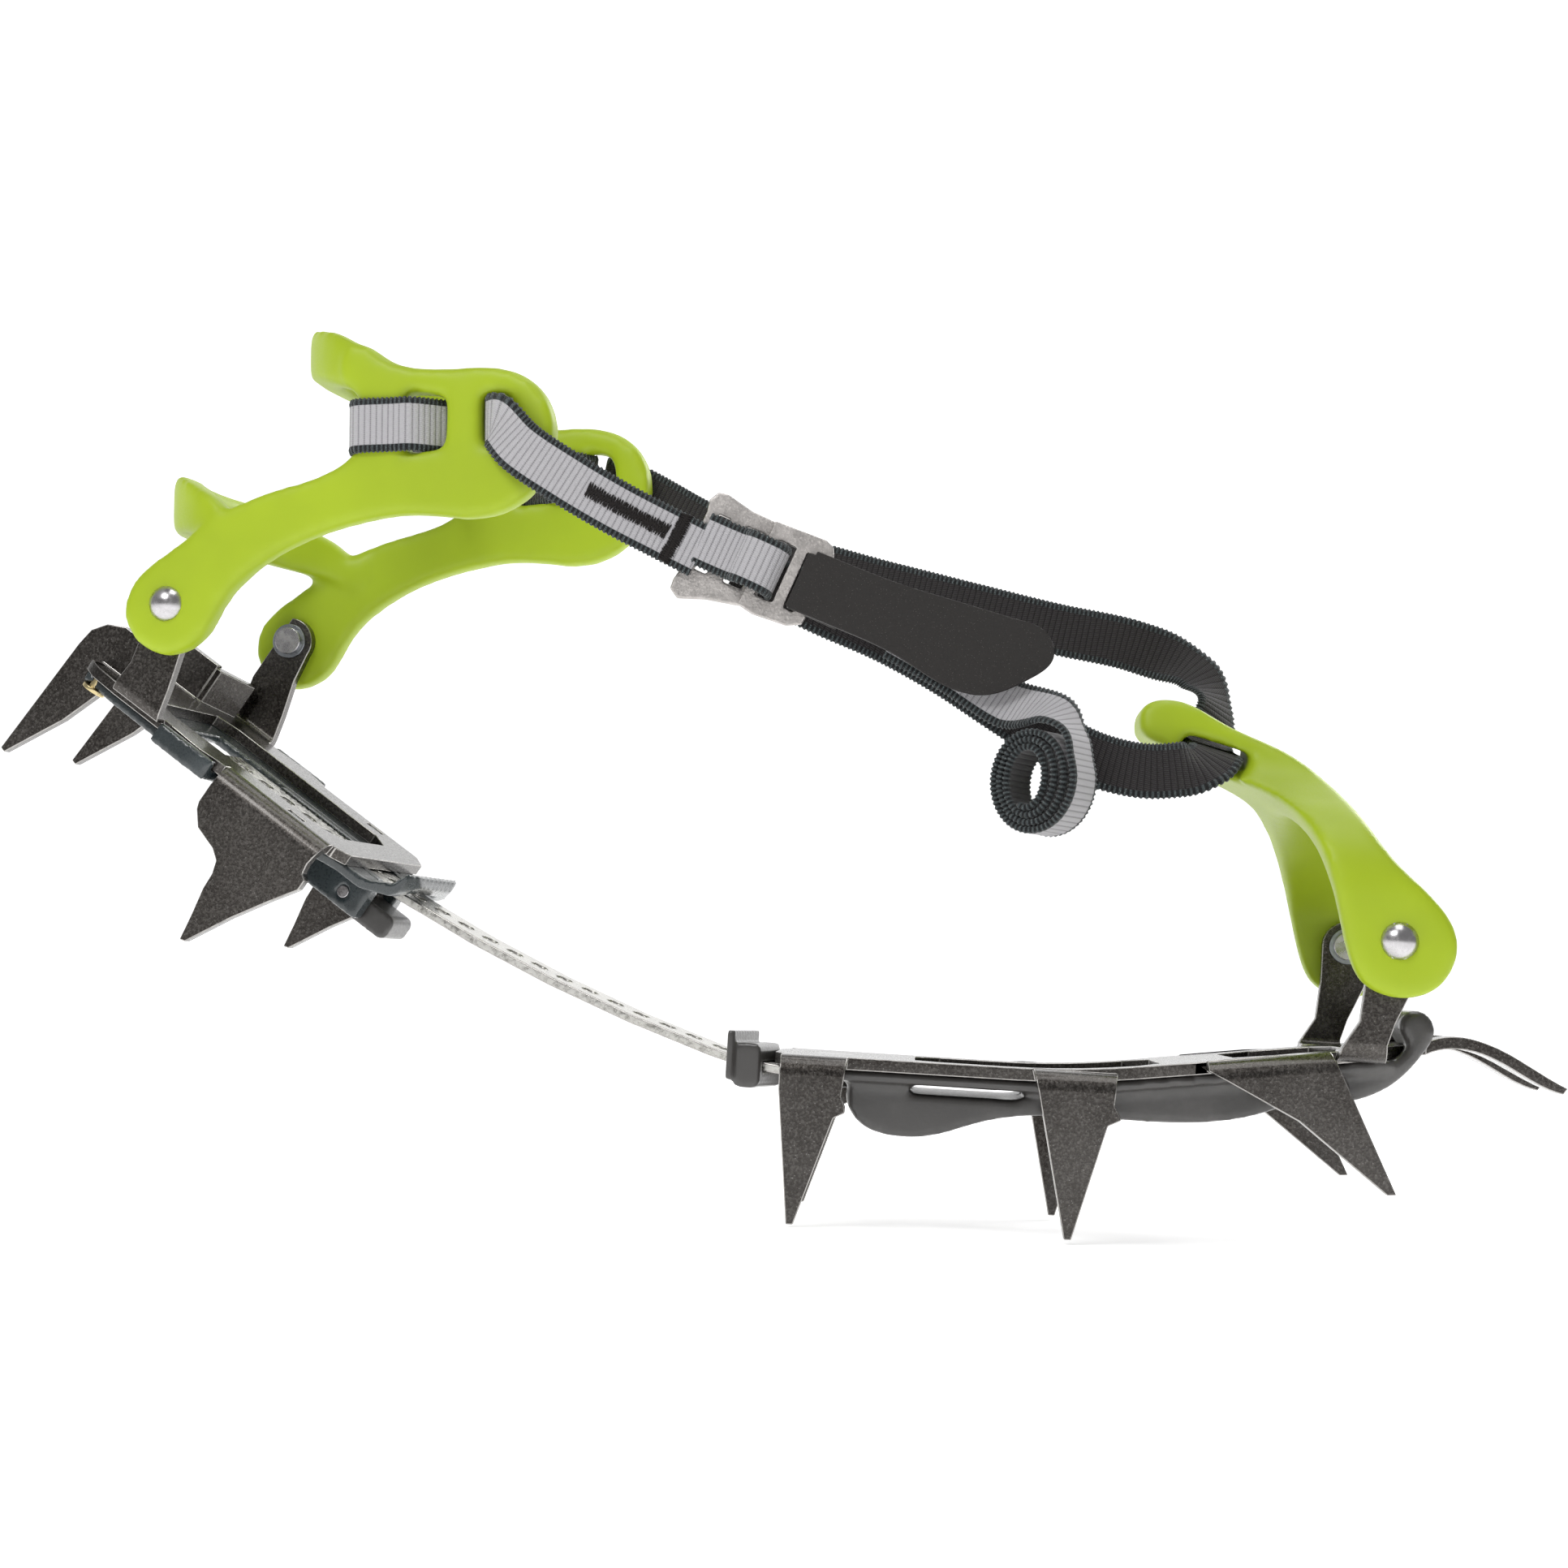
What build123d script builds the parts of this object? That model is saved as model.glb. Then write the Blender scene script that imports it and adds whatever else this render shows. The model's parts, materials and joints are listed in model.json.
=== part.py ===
"""Twelve-point walking crampon with a webbing harness, one side of a pair, in millimetres.

+X points to the toe, +Y to the left, +Z up. The origin is the middle of the top face of the toe
frame's rear cross member. Three frames are used: the toe frame's own (the model frame), the heel
frame's (origin midway between its two post pivots, pitched nose-down along the bowed bar) and the
harness's (the same origin, pitched apart from the heel frame). The steel frames are symmetric
about their XZ plane.
"""

import os
from math import cos, radians, sin, tan

from build123d import *

os.makedirs("parts", exist_ok=True)

# ---- driving dimensions ----
steel = 2.8                 # thickness of both stamped frames
bend_outer = 4.4            # outer radius of every folded edge
bend_inner = bend_outer - steel
fit_gap = 0.3               # gap between pieces that move past each other
pivot_fit = 0.05            # radial clearance of a rivet in what turns on it

toe_half_width = 40.5       # to the outer face of the toe spikes and posts
toe_rear = -20.0            # rear edge of the toe frame
toe_bend = 48.0             # where the sole plane starts to rise to the front
toe_rise = 8.0              # degrees that the front of the toe frame rises
toe_front = 127.0           # front edge of the toe plate, where the points begin
toe_bend_radius = 2.8 * (toe_front - toe_bend)
point_half_spacing = 15.0   # middle of each front point from the centre plane
point_width = 11.0
toe_pivot_x = 116.0
toe_pivot_z = 33.0

bar_width = 16.0
bar_thick = 2.0
bar_hole = 4.2
hole_pitch = 7.0
bar_gap = 1.0               # between the toe plate and the bar under it
bar_level_end = 4.0         # where the bar starts to bow, behind its rivet
bar_rivet_x = -6.7
bar_yaw = 11.7              # degrees that the heel half swings to the left of the toe half
heel_pitch = 32.5           # degrees that the bowed bar turns the heel frame nose-down
heel_origin_x = -161.2
heel_origin_z = 95.6
harness_pitch = -3.5        # pitch of the harness from the toe plane

heel_plate_z = -24.0        # top of the heel plate below the heel pivots
heel_half_width = 33.0
heel_front = 67.0
heel_rear = -15.0
heel_post_outer = 36.0      # outer face of the heel posts
guide_half = 12.0
guide_rear = 30.0
guide_front = 78.0

rivet_shank = 2.5           # radius of the pivot rivets' shanks
rivet_head = 4.2            # radius of their domed heads
rivet_dome = 2.6
washer_radius = 4.4
washer_thick = 0.8
arm_thick = 6.0             # thickness of harness and bail arms at the pivots

web_width = 12.5
web_thick = 1.4
plate_thick = 2.0           # buckle plates
loop_bar_x = 81.0           # where the strap leaves the harness loop, in the harness frame
loop_bar_z = 40.0

heel_origin_y = (bar_rivet_x - heel_origin_x) * tan(radians(bar_yaw))
heel_place = Location((heel_origin_x, heel_origin_y, heel_origin_z)) * Rotation(0, 0, -bar_yaw)
heel = heel_place * Rotation(0, heel_pitch, 0)
harness = heel_place * Rotation(0, harness_pitch, 0)

nodes = {}


# ---- helpers ----
def side_prism(points, y_low, y_high):
    """A closed outline in the XZ plane, made solid from y_low to y_high."""
    face = Plane.XZ * make_face(Polyline(*points, close=True))
    return Location((0, y_high, 0)) * extrude(face, amount=y_high - y_low)


def plan_prism(points, z_low, z_high):
    face = make_face(Polyline(*points, close=True))
    return Location((0, 0, z_low)) * extrude(face, amount=z_high - z_low)


def box(x_low, x_high, y_low, y_high, z_low, z_high):
    centre = ((x_low + x_high) / 2, (y_low + y_high) / 2, (z_low + z_high) / 2)
    return Location(centre) * Box(x_high - x_low, y_high - y_low, z_high - z_low)


def both(shape):
    """The shape and its mirror image across the centre plane."""
    return shape + mirror(shape, about=Plane.XZ)


def across(radius, x, z, y_low, y_high):
    """A round bar along Y."""
    return Location((x, (y_low + y_high) / 2, z)) * Rotation(90, 0, 0) * Cylinder(radius, y_high - y_low)


def upright(radius, x, y, z_low, z_high):
    return Location((x, y, (z_low + z_high) / 2)) * Cylinder(radius, z_high - z_low)


def folded_edge(x_low, x_high, y_outer, z_top, reach, drop, turn):
    """A strip with one right-angle fold along X, on the right side: reach inwards from y_outer, then drop
    downwards (turn = -1) or upwards (turn = 1) from the plate whose top is z_top."""
    profile = Polyline((0, 0), (reach, 0), (reach, -steel), (steel, -steel), (steel, -drop), (0, -drop),
        close=True)
    face = make_face(profile)
    outer = face.vertices().filter_by(lambda v: abs(v.X) < 0.01 and abs(v.Y) < 0.01)
    face = fillet(outer, bend_outer)
    inner = face.vertices().filter_by(lambda v: abs(v.X - steel) < 0.01 and abs(v.Y + steel) < 0.01)
    face = fillet(inner, bend_inner)
    solid = extrude(Plane.YZ * face, amount=x_high - x_low)
    solid = Location((x_low, -y_outer, 0)) * solid
    if turn > 0:
        solid = Location((0, 0, -steel)) * mirror(solid, about=Plane.XY)
    return Location((0, 0, z_top)) * solid


def webbing(stations, width=web_width, thick=web_thick):
    """Flat webbing through stations (point, width direction, travel direction)."""
    faces = []
    for point, across_dir, travel in stations:
        plane = Plane(origin=point, x_dir=across_dir, z_dir=travel)
        faces.append(plane * Rectangle(width, thick))
    return loft(faces, ruled=True)


def save(name, shape):
    nodes[name] = shape
    export_step(shape, f"parts/{name}.step")


# ---- toe frame ----
def toe_plane(x):
    """Height of the toe plate's top face at x."""
    return max(0.0, x - toe_bend) * tan(radians(toe_rise))


def at_front(*points):
    """Points of a side view, measured from the top of the toe plate's front edge."""
    return [(toe_front + x, toe_plane(toe_front) + z) for x, z in points]


def toe_plate():
    top_front = toe_plane(toe_front)
    top = Polyline((toe_rear, 0), (toe_bend, 0), (toe_front, top_front))
    point_top = Spline(
        at_front((0, 0), (6, 1.7), (12.5, 0.9), (23.6, -3.9), (33, -8.5)),
    )
    tip = Line(at_front((33, -8.5), (32, -9.9)))
    point_under = Spline(
        at_front((32, -9.9), (22, -6.1), (12, 1.1 - steel), (6, 1.7 - steel), (0, -steel)),
    )
    under = Polyline((toe_front, top_front - steel), (toe_bend, -steel), (toe_rear, -steel), (toe_rear, 0))
    outline = [*top.edges(), *point_top.edges(), *tip.edges(), *point_under.edges(), *under.edges()]
    slab = Location((0, toe_half_width, 0)) * extrude(Plane.XZ * make_face(Wire(outline)),
        amount=2 * toe_half_width)
    crease = slab.edges().filter_by(Axis.Y).filter_by_position(Axis.X, toe_bend - 0.1, toe_bend + 0.1)
    slab = fillet(crease, toe_bend_radius)
    inner = toe_half_width - 5
    point_out = point_half_spacing + point_width / 2
    point_in = point_half_spacing - point_width / 2
    right_half = [
        (toe_rear, 0), (toe_rear, -16), (toe_rear + 4, -inner), (66, -inner), (74, -inner - 1.5),
        (toe_front - 15, -inner), (toe_front - 6, -26), (toe_front, -point_out), (toe_front + 19, -point_out),
        (toe_front + 34, -point_half_spacing - 1.5), (toe_front + 34, -point_half_spacing + 1.5),
        (toe_front + 19, -point_in), (toe_front + 3, -point_in), (toe_front - 1, 0),
    ]
    plan = plan_prism(right_half, -40, 40)
    window_rear = plan_prism([(12, 0), (12, -20), (18, -25), (62, -27), (68, -20), (68, 0)], -40, 40)
    window_front = plan_prism([(84, 0), (84, -20), (92, -26), (106, -22), (110, -12), (110, 0)], -40, 40)
    return both(slab & (plan - window_rear - window_front))


def toe_spike(outline, x_low, x_high, rise):
    strip = folded_edge(x_low, x_high, toe_half_width, 0, 9, 48, -1)
    if rise:
        pivot = Location((toe_bend, 0, 0)) * Rotation(0, -toe_rise, 0) * Location((-toe_bend, 0, 0))
        strip = pivot * strip
    return strip & side_prism(outline, -60, 0)


spike_four = [(-18, 1), (-18.2, -6), (-14.6, -37.4), (-13, -37.4), (-5.4, -13.5), (-2.5, -12), (-4, -8.6),
    (-3, 1)]
spike_three = [(38, 1), (39.6, -5), (46.8, -36.9), (48.4, -36.9), (55.2, -11.5), (58.2, -10), (56.4, -7),
    (57, 1)]
spike_two = [(76, 8), (76.7, 2.0), (84, -1.5), (97, -7.8), (117, -22.8), (119, -22.6), (108, -1),
    (103, 9), (101, 12)]
post_toe = [
    (104, 2), (105.5, 9), (109.2, 15), (110, 24), (110, toe_pivot_z), (122, toe_pivot_z), (121, 24),
    (117, 15), (115.5, 10), (116, 2),
]


def toe_post():
    strip = folded_edge(100, 122, toe_half_width, toe_plane(110), 9, 40, 1)
    blade = side_prism(post_toe, -60, 0) + across(6, toe_pivot_x, toe_pivot_z, -60, 0)
    return strip & blade


pivot_hole_toe = across(rivet_shank, toe_pivot_x, toe_pivot_z, -60, 60)
bar_rivet_hole = upright(3.0, bar_rivet_x, 0, -steel, 0) + Location((bar_rivet_x, 0, -0.9)) * Cone(3.0,
    4.8, 1.8)
frame_toe = toe_plate()
frame_toe += both(toe_spike(spike_four, -18, -3, False))
frame_toe += both(toe_spike(spike_three, 38, 58, False))
frame_toe += both(toe_spike(spike_two, 70, 122, True))
frame_toe += both(toe_post())
frame_toe -= pivot_hole_toe
frame_toe -= bar_rivet_hole
save("toe_frame", frame_toe)

# ---- link bar: straight in the heel guide, bowed between, straight under the toe plate ----
bar_runs = [(14.0, 5.0), (86.0, 11.0), (24.0, heel_pitch - 16.0)]


def bar_route():
    """Top-face line of the bar in its own upright plane: (distance,
        height) and slope, from the toe rearwards."""
    distance = -40.0
    height = -steel - bar_gap
    slope = 0.0
    route = [(distance, height, slope)]
    distance = bar_level_end
    route.append((distance, height, slope))
    for length, turn in reversed(bar_runs):
        steps = 4
        for _ in range(steps):
            slope += turn / steps / 2
            distance += length / steps * cos(radians(slope))
            height += length / steps * sin(radians(slope))
            slope += turn / steps / 2
            route.append((distance, height, slope))
    return route


bar_plane = Location((bar_rivet_x, 0, 0)) * Rotation(0, 0, -bar_yaw)
bar_end = bar_route()[-1]
bar_tail = 46.0


def bar_strip(grow=0.0):
    """The bar in its upright plane, where x is minus the distance behind its rivet, made larger by grow."""
    route = bar_route()
    last = route[-1]
    tail_x = last[0] + bar_tail * cos(radians(last[2]))
    tail_z = last[1] + bar_tail * sin(radians(last[2]))
    route = route + [(tail_x, tail_z, last[2])]
    top = [(-d + grow * sin(radians(s)), z + grow * cos(radians(s))) for d, z, s in route]
    deep = bar_thick + grow
    under = [(-d - deep * sin(radians(s)), z - deep * cos(radians(s))) for d, z, s in route]
    return side_prism(top + under[::-1], -bar_width / 2 - grow, bar_width / 2 + grow)


def along_bar(distance_from_end):
    """Point and slope on the straight heel end of the bar, distance_from_end behind the last bend."""
    d, z, s = bar_end
    return -d - distance_from_end * cos(radians(s)), z + distance_from_end * sin(radians(s)), s


def along_route(length):
    """Point and slope on the bowed stretch, by length forwards from the last bend."""
    route = bar_route()[::-1]
    for (d0, z0, s0), (d1, z1, s1) in zip(route, route[1:]):
        span = ((d1 - d0) ** 2 + (z1 - z0) ** 2) ** 0.5
        if length <= span:
            part = length / span
            return -(d0 + (d1 - d0) * part), z0 + (z1 - z0) * part, s0 + (s1 - s0) * part
        length -= span
    return -route[-1][0], route[-1][1], route[-1][2]


bar = bar_strip()
bar_holes_rear = 6
bar_holes_front = 15
for index in range(bar_holes_rear):
    hx, hz, hs = along_bar(5.0 + index * hole_pitch)
    bar -= Location((hx, 0, hz)) * Rotation(0, hs, 0) * Cylinder(bar_hole / 2, 4 * bar_thick)
for index in range(bar_holes_front):
    hx, hz, hs = along_route(2.0 + index * hole_pitch)
    bar -= Location((hx, 0, hz)) * Rotation(0, hs, 0) * Cylinder(bar_hole / 2, 4 * bar_thick)
bar -= upright(3.0 + pivot_fit, 0, 0, -20, 5)
save("link_bar", bar_plane * bar)

rivet_foot = -steel - bar_gap - bar_thick - 0.2
rivet = upright(3.0, bar_rivet_x, 0, rivet_foot, 0)
rivet += Location((bar_rivet_x, 0, -0.9)) * Cone(3.0, 4.8, 1.8)
rivet += upright(5.0, bar_rivet_x, 0, rivet_foot - 1.6, rivet_foot)
save("bar_rivet", rivet)


# The bar's heel end in the heel frame, where the guide is placed on it.
bar_in_heel = (heel.inverse() * bar_plane * Location((-bar_end[0], 0, bar_end[1]))).position

# ---- toe anti-balling plate ----
plastic = 2.5
plate_gap = 0.05            # between the toe plate and the moulding that hangs under it
keel_half = 28.0            # half width of the deep part under the plate
lip_in = 12.0               # the two lips that curl up over the plate's front corners
lip_out = 31.3


def toe_plastic():
    level = -steel - plate_gap
    points = [
        (toe_rear + 3, level), (toe_bend, level), (toe_front - 9, toe_plane(toe_front - 9) + level),
        (toe_front - 9, toe_plane(toe_front - 9) + level - plastic), (toe_bend, level - plastic),
        (toe_rear + 3, level - plastic),
    ]
    sheet = side_prism(points, -lip_out, lip_out)
    plan = both(plan_prism([(-17, 0), (-17, -20), (-13, -31), (toe_front - 9, -lip_out),
        (toe_front - 9, 0)], -40, 40))
    sheet = sheet & plan
    keel_outline = Spline(
        (2, level - 1), (-3.2, -8), (0, -14.4), (7, -17), (17, -16.4), (27, -13), (62, -10.4), (96,
            -4.4), (104, 1.5),
    )
    keel_top = Polyline((104, 1.5), (86, -0.5), (56, -4.2), (34, -7.4), (12, -7.4), (8, level - 1),
        (2, level - 1))
    keel_face = Plane.XZ * make_face(Wire([*keel_outline.edges(), *keel_top.edges()]))
    sheet += Location((0, keel_half, 0)) * extrude(keel_face, amount=2 * keel_half)
    lip_points = at_front(
        (-27, -12.7), (-21, -14.3), (-12.2, -12.1), (-6.5, -8.1), (-2.1, -2.7), (0.3, 2.9), (-2.2, 6.7),
        (-6.8, 5.9), (-7.4, 2.3), (-5.8, -0.5), (-9.5, -4.7), (-17, -7.7), (-24, -9.1),
    )
    lip_outline = Spline(lip_points, periodic=True)
    lip_side = Location((0, -lip_in, 0)) * extrude(Plane.XZ * make_face(lip_outline), amount=lip_out - 1.0 - lip_in)
    root = toe_front - 19.5
    lip = both(lip_side - side_prism([(84, -30), (84, 1.2), (root, 1.2), (root, -30)], -60, 0))
    return sheet + lip - nodes["toe_frame"]


toe_ball = toe_plastic()
way_low = -steel - bar_gap - bar_thick - 1.2
bar_way = side_prism([(-60, -steel + 1), (44, -steel + 1), (44, way_low), (-60, way_low)],
                     -bar_width / 2 - 1.2, bar_width / 2 + 1.2)
toe_ball -= bar_plane * bar_way
toe_ball -= upright(5.6, bar_rivet_x, 0, rivet_foot - 2.4, 0)
toe_ball = toe_ball.solids().sort_by(SortBy.VOLUME)[-1]
save("toe_antiball_plate", toe_ball)

# ---- rear block round the bar and its collar ----
block = box(-7.6, -1.2, -11, 11, -9.0, 1.4)
block = fillet(block.edges().filter_by(Axis.Y), 1.8)
block += box(-9.2, -7.4, -12, 12, -7.4, 4.0)
block = Rotation(0, 0, -bar_yaw) * block
block = Location((toe_rear - 0.4, (bar_rivet_x - toe_rear) * tan(radians(bar_yaw)), 0)) * block
block -= bar_plane * bar_strip(0.05)
block -= nodes["toe_frame"]
block -= nodes["toe_antiball_plate"]
block -= box(toe_rear - 0.3, toe_rear + 20, -40, 40, -0.1, 20)
block = block.solids().sort_by(SortBy.VOLUME)[-1]
save("bar_rear_block", block)


# ---- pivot rivets and washers ----
def pivot_rivet(x, z, post_outer):
    """One rivet through a post and the arm outside it, on the right side, with a domed outer head."""
    arm_out = post_outer + fit_gap + arm_thick
    inner_face = post_outer - steel - washer_thick
    shank = across(rivet_shank, x, z, -arm_out - 0.2, -inner_face + 1.0)
    peen = across(rivet_shank + 0.9, x, z, -inner_face, -inner_face + 1.0)
    ball_radius = (rivet_head ** 2 + rivet_dome ** 2) / 2 / rivet_dome
    ball = Location((x, -arm_out - 0.15 - rivet_dome + ball_radius, z)) * Sphere(ball_radius)
    dome = ball & box(x - 9, x + 9, -arm_out - 9, -arm_out - 0.15, z - 9, z + 9)
    return shank + peen + dome


def pivot_washer(x, z, post_outer):
    inner_face = post_outer - steel
    ring = across(washer_radius, x, z, -inner_face, -inner_face + washer_thick)
    return ring - across(rivet_shank, x, z, -inner_face - 1, -inner_face + 5)


save("toe_pivot_rivets", both(pivot_rivet(toe_pivot_x, toe_pivot_z, toe_half_width)))
save("toe_pivot_washers", both(pivot_washer(toe_pivot_x, toe_pivot_z, toe_half_width)))
save("heel_pivot_rivets", heel * both(pivot_rivet(0, 0, heel_post_outer)))
save("heel_pivot_washers", heel * both(pivot_washer(0, 0, heel_post_outer)))

# ---- heel frame, in its own frame ----
blade_front = [
    (31, -22), (31.1, -28.8), (30.3, -32.2), (31.6, -36), (34.5, -39.4), (40.5, -41.2), (43, -43), (44, -46),
    (44.2, -50), (45.6, -57), (46.6, -63.2), (48, -62.8), (54.1, -51.7), (59.5, -43.2), (65.2, -34.8),
    (62.6, -32.8), (62.2, -30.4), (63.5, -22),
]
spike_rear = [
    (-24.6, -56.2), (-22.9, -24), (-22.2, -19.5), (-19.5, -16), (-15, -13.8), (-6, -13.8), (-6,
        -24), (-11, -24.6),
    (-13, -26.4), (-10, -28.2), (-15, -41.4), (-23.2, -56.6),
]
spike_rear_outer = 20.7
post_heel = [(-2.5, heel_plate_z - 1), (-2, -17), (-4, -9), (-6, 0), (6, 0), (7.2, -8), (10, -17),
    (12, heel_plate_z - 1)]


def heel_plate():
    edge = heel_half_width - 5
    right_half = [
        (heel_rear, 0), (heel_rear, -26), (heel_rear + 4, -29.6), (-3, -31.2), (14, -31.6), (24,
            -33.4), (31, -31), (31, -edge), (62, -edge), (heel_front - 3, -edge), (heel_front, -edge + 4), (heel_front, 0),
    ]
    plan = plan_prism(right_half, heel_plate_z - steel, heel_plate_z)
    window = plan_prism([(2, 0), (2, -17), (8, -20), (54, -19), (59, -14), (59, 0)], -60, 0)
    return both(plan - window)


def heel_frame():
    blade = folded_edge(31, 64, heel_half_width, heel_plate_z, 9, 44, -1) & side_prism(blade_front, -60, 0)
    post = folded_edge(-3, 12, heel_post_outer, heel_plate_z, 9, 34, 1)
    post = post & (side_prism(post_heel, -60, 0) + across(6, 0, 0, -60, 0))
    spike = side_prism(spike_rear, -spike_rear_outer, -spike_rear_outer + steel)
    brace = plan_prism([(-8, -18.2), (-7.4, -20.7), (-1.6, -31.2), (1.0, -29.6), (-4.4, -18.2)],
        heel_plate_z - steel, -14.6)
    shape = heel_plate() + both(blade) + both(post) + both(spike) + both(brace)
    shape -= across(rivet_shank, 0, 0, -60, 60)
    return shape


frame_heel = heel_frame()
hook_slot = box(48, 53, -27.2, -24.4, -40, 0)
frame_heel -= both(hook_slot)
plate_rivet_x = -10.6
plate_rivet_y = 25.4
plate_rivet_head = 2.9
dimple = 1.0                # depth of the round recess that keeps the rivet heads below the resting face
frame_heel -= both(upright(1.6, plate_rivet_x, -plate_rivet_y, -30, -10))
frame_heel -= both(upright(plate_rivet_head + 0.3, plate_rivet_x, -plate_rivet_y, heel_plate_z - dimple, -10))
save("heel_frame", heel * frame_heel)

# ---- bar guide, lock lever, pin and spring, in the heel frame ----
bar_top = bar_in_heel.Z
bar_low = bar_top - bar_thick
slot_top = bar_top + 0.3
slot_low = bar_low - 0.3
guide_low = slot_low - 8.5
pin_x = 66.0
pin_z = slot_low - 4.8
peg_x = bar_in_heel.X - 5.0 - 3 * hole_pitch
peg_radius = bar_hole / 2 - 0.55
lever_half = 6.5

guide = box(guide_rear, guide_front - 6, -guide_half, guide_half, guide_low, heel_plate_z - steel)
guide -= box(guide_rear - 1, guide_front + 1, -bar_width / 2 - 0.3, bar_width / 2 + 0.3, slot_low, slot_top)
guide -= box(guide_front - 14, guide_front + 1, -bar_width / 2 - 0.3, bar_width / 2 + 0.3, slot_low - 0.6,
    slot_top + 1.2)
guide -= box(peg_x - 5, guide_front + 1, -lever_half - 0.5, lever_half + 0.5, guide_low - 1, slot_low + 0.01)
guide -= across(1.5, pin_x, pin_z, -guide_half - 1, guide_half + 1)
guide -= box(heel_front - 8.3, guide_front, -30, 30, slot_top + 0.7, heel_plate_z)
save("bar_guide", heel * guide)

lever_top = slot_low - 2.8
lever_low = guide_low + 0.2
lever = box(peg_x - 4, pin_x + 3, -lever_half, lever_half, lever_low + 1.5, lever_top)
nose = box(pin_x - 3, guide_front + 1.5, -lever_half, lever_half, lever_low - 1.4, lever_top - 0.8)
nose = fillet(nose.edges().filter_by(Axis.Y).sort_by(Axis.X)[-2:], 2.0)
lever += nose
lever += upright(peg_radius, peg_x, 0, lever_top - 1, slot_low + 0.02)
lever -= across(1.5 + pivot_fit, pin_x, pin_z, -guide_half, guide_half)
lever -= box(pin_x - 3.4, pin_x + 3.4, -2.4, 2.4, lever_low + 0.2, lever_top + 1)
save("lock_lever", heel * lever)
save("lock_lever_pin", heel * across(1.5, pin_x, pin_z, -guide_half, guide_half))
spring = across(2.6, pin_x, pin_z, -2.1, 2.1) - across(1.5, pin_x, pin_z, -3, 3)
save("lock_spring", heel * spring)

# ---- heel anti-balling plate ----
heel_under = heel_plate_z - steel


def heel_plastic():
    half = [(heel_rear + 0.6, 0), (heel_rear + 0.6, -17.6), (-8, -17.6), (-8, -21.2),
        (heel_rear + 0.6, -21.2),
            (heel_rear + 0.6, -26), (-4, -29), (12, -30), (14, -33.6), (29.6, -33.6), (30.4, -29), (60,
                -28), (heel_front, -22), (heel_front, 0)]
    sheet = both(plan_prism(half, heel_under - plastic, heel_under))
    rim = both(plan_prism([(13, -33.7), (29.6, -33.7), (29.6, -36), (24, -36.4), (13, -36)],
        heel_under - plastic, heel_plate_z - 0.2))
    rim += both(plan_prism([(13, -33), (29.6, -33), (29.6, -35.8), (13, -35.8)], heel_under - plastic,
        heel_under))
    lip_side = side_prism(
        [(heel_front - 2, heel_under), (heel_front - 2, heel_under - plastic), (72, -29.6), (78, -27.5),
            (81.5, -22.5),
         (80.5, -20), (78.5, -20.6), (77, -24.6), (72, -26.9), (heel_front + 0.3, heel_under)],
        -24, 24,
    )
    lip_plan = plan_prism([(60, -24), (72, -22), (79, -17), (82, -9), (82, 9), (79, 17), (72, 22),
        (60, 24)], -60, 0)
    hooks = both(box(48.4, 52.6, -26.8, -24.8, heel_under - 0.5, heel_plate_z - 0.1))
    shape = sheet + rim + (lip_side & lip_plan) + hooks
    shape -= box(-20, 90, -guide_half - 0.05, guide_half + 0.05, -60,
        heel_under + 0.01) & box(guide_rear - 22, 90, -50, 50, -60, 0)
    shape -= box(heel_front - 1, 90, -bar_width / 2 - 1.5, bar_width / 2 + 1.5, -60, slot_top + 1.4)
    shape -= both(upright(1.6, plate_rivet_x, -plate_rivet_y, -40, -10))
    return shape - frame_heel - guide


heel_ball = heel_plastic()
heel_ball = heel_ball.solids().sort_by(SortBy.VOLUME)[-1]
save("heel_antiball_plate", heel * heel_ball)


def plate_rivet():
    foot = heel_under - plastic
    seat = heel_plate_z - dimple
    rise = dimple - 0.05
    shape = upright(1.6, plate_rivet_x, -plate_rivet_y, foot - 0.9, seat + 0.1)
    shape += upright(plate_rivet_head + 0.1, plate_rivet_x, -plate_rivet_y, foot - 1.0, foot)
    ball_radius = (plate_rivet_head ** 2 + rise ** 2) / 2 / rise
    ball = Location((plate_rivet_x, -plate_rivet_y, heel_plate_z - 0.05 - ball_radius)) * Sphere(ball_radius)
    return shape + (ball & box(-20, 20, -40, 0, seat, 0))


save("heel_plate_rivets", heel * both(plate_rivet()))

# ---- heel harness, in its own frame ----
arm_in = heel_post_outer + fit_gap
arm_out = arm_in + arm_thick


def harness_side():
    outline = Spline(
        (-10.2, 1), (-8, -7.5), (-1, -11.4), (8, -8), (14, 1), (22, 8.5), (34, 14.6), (48, 18.4), (62,
            19.6), (78, 18.4),
        (89, 23.5), (94, 33), (93.4, 43), (87, 50.2), (76, 52.6), (62, 53), (54, 55.4), (46, 59.2), (43, 54),
        (47.4, 47.4), (48.8, 41), (47, 34.6), (40, 29.4), (28, 26), (14, 21), (0, 12), periodic=True,
    )
    face = Plane.XZ * make_face(outline)
    side = Location((0, -arm_in, 0)) * extrude(face, amount=arm_thick)
    slots = side_prism([(58.5, 33.4), (69, 34), (69, 47), (58.5, 48)], -60, 0)
    slots += side_prism([(77, 34), (85, 34.4), (86.6, 40), (85, 46), (77, 47)], -60, 0)
    return side - slots


def rear_band(reach, apex, y_out, thick, z_low, z_high):
    """Half-oval band behind the ankle, from x = reach back to x = apex."""
    depth = reach - apex
    outer = Location((reach, 0)) * Ellipse(depth, y_out)
    inner = Location((reach, 0)) * Ellipse(depth - thick, y_out - thick)
    ring = outer - inner - Location((reach + 100, 0)) * Rectangle(200, 200)
    for side in (-1, 1):
        ring += Location((reach + 2.0, side * (y_out - thick / 2))) * Rectangle(4.2, thick)
    return Location((0, 0, z_low)) * extrude(ring, amount=z_high - z_low)


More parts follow.
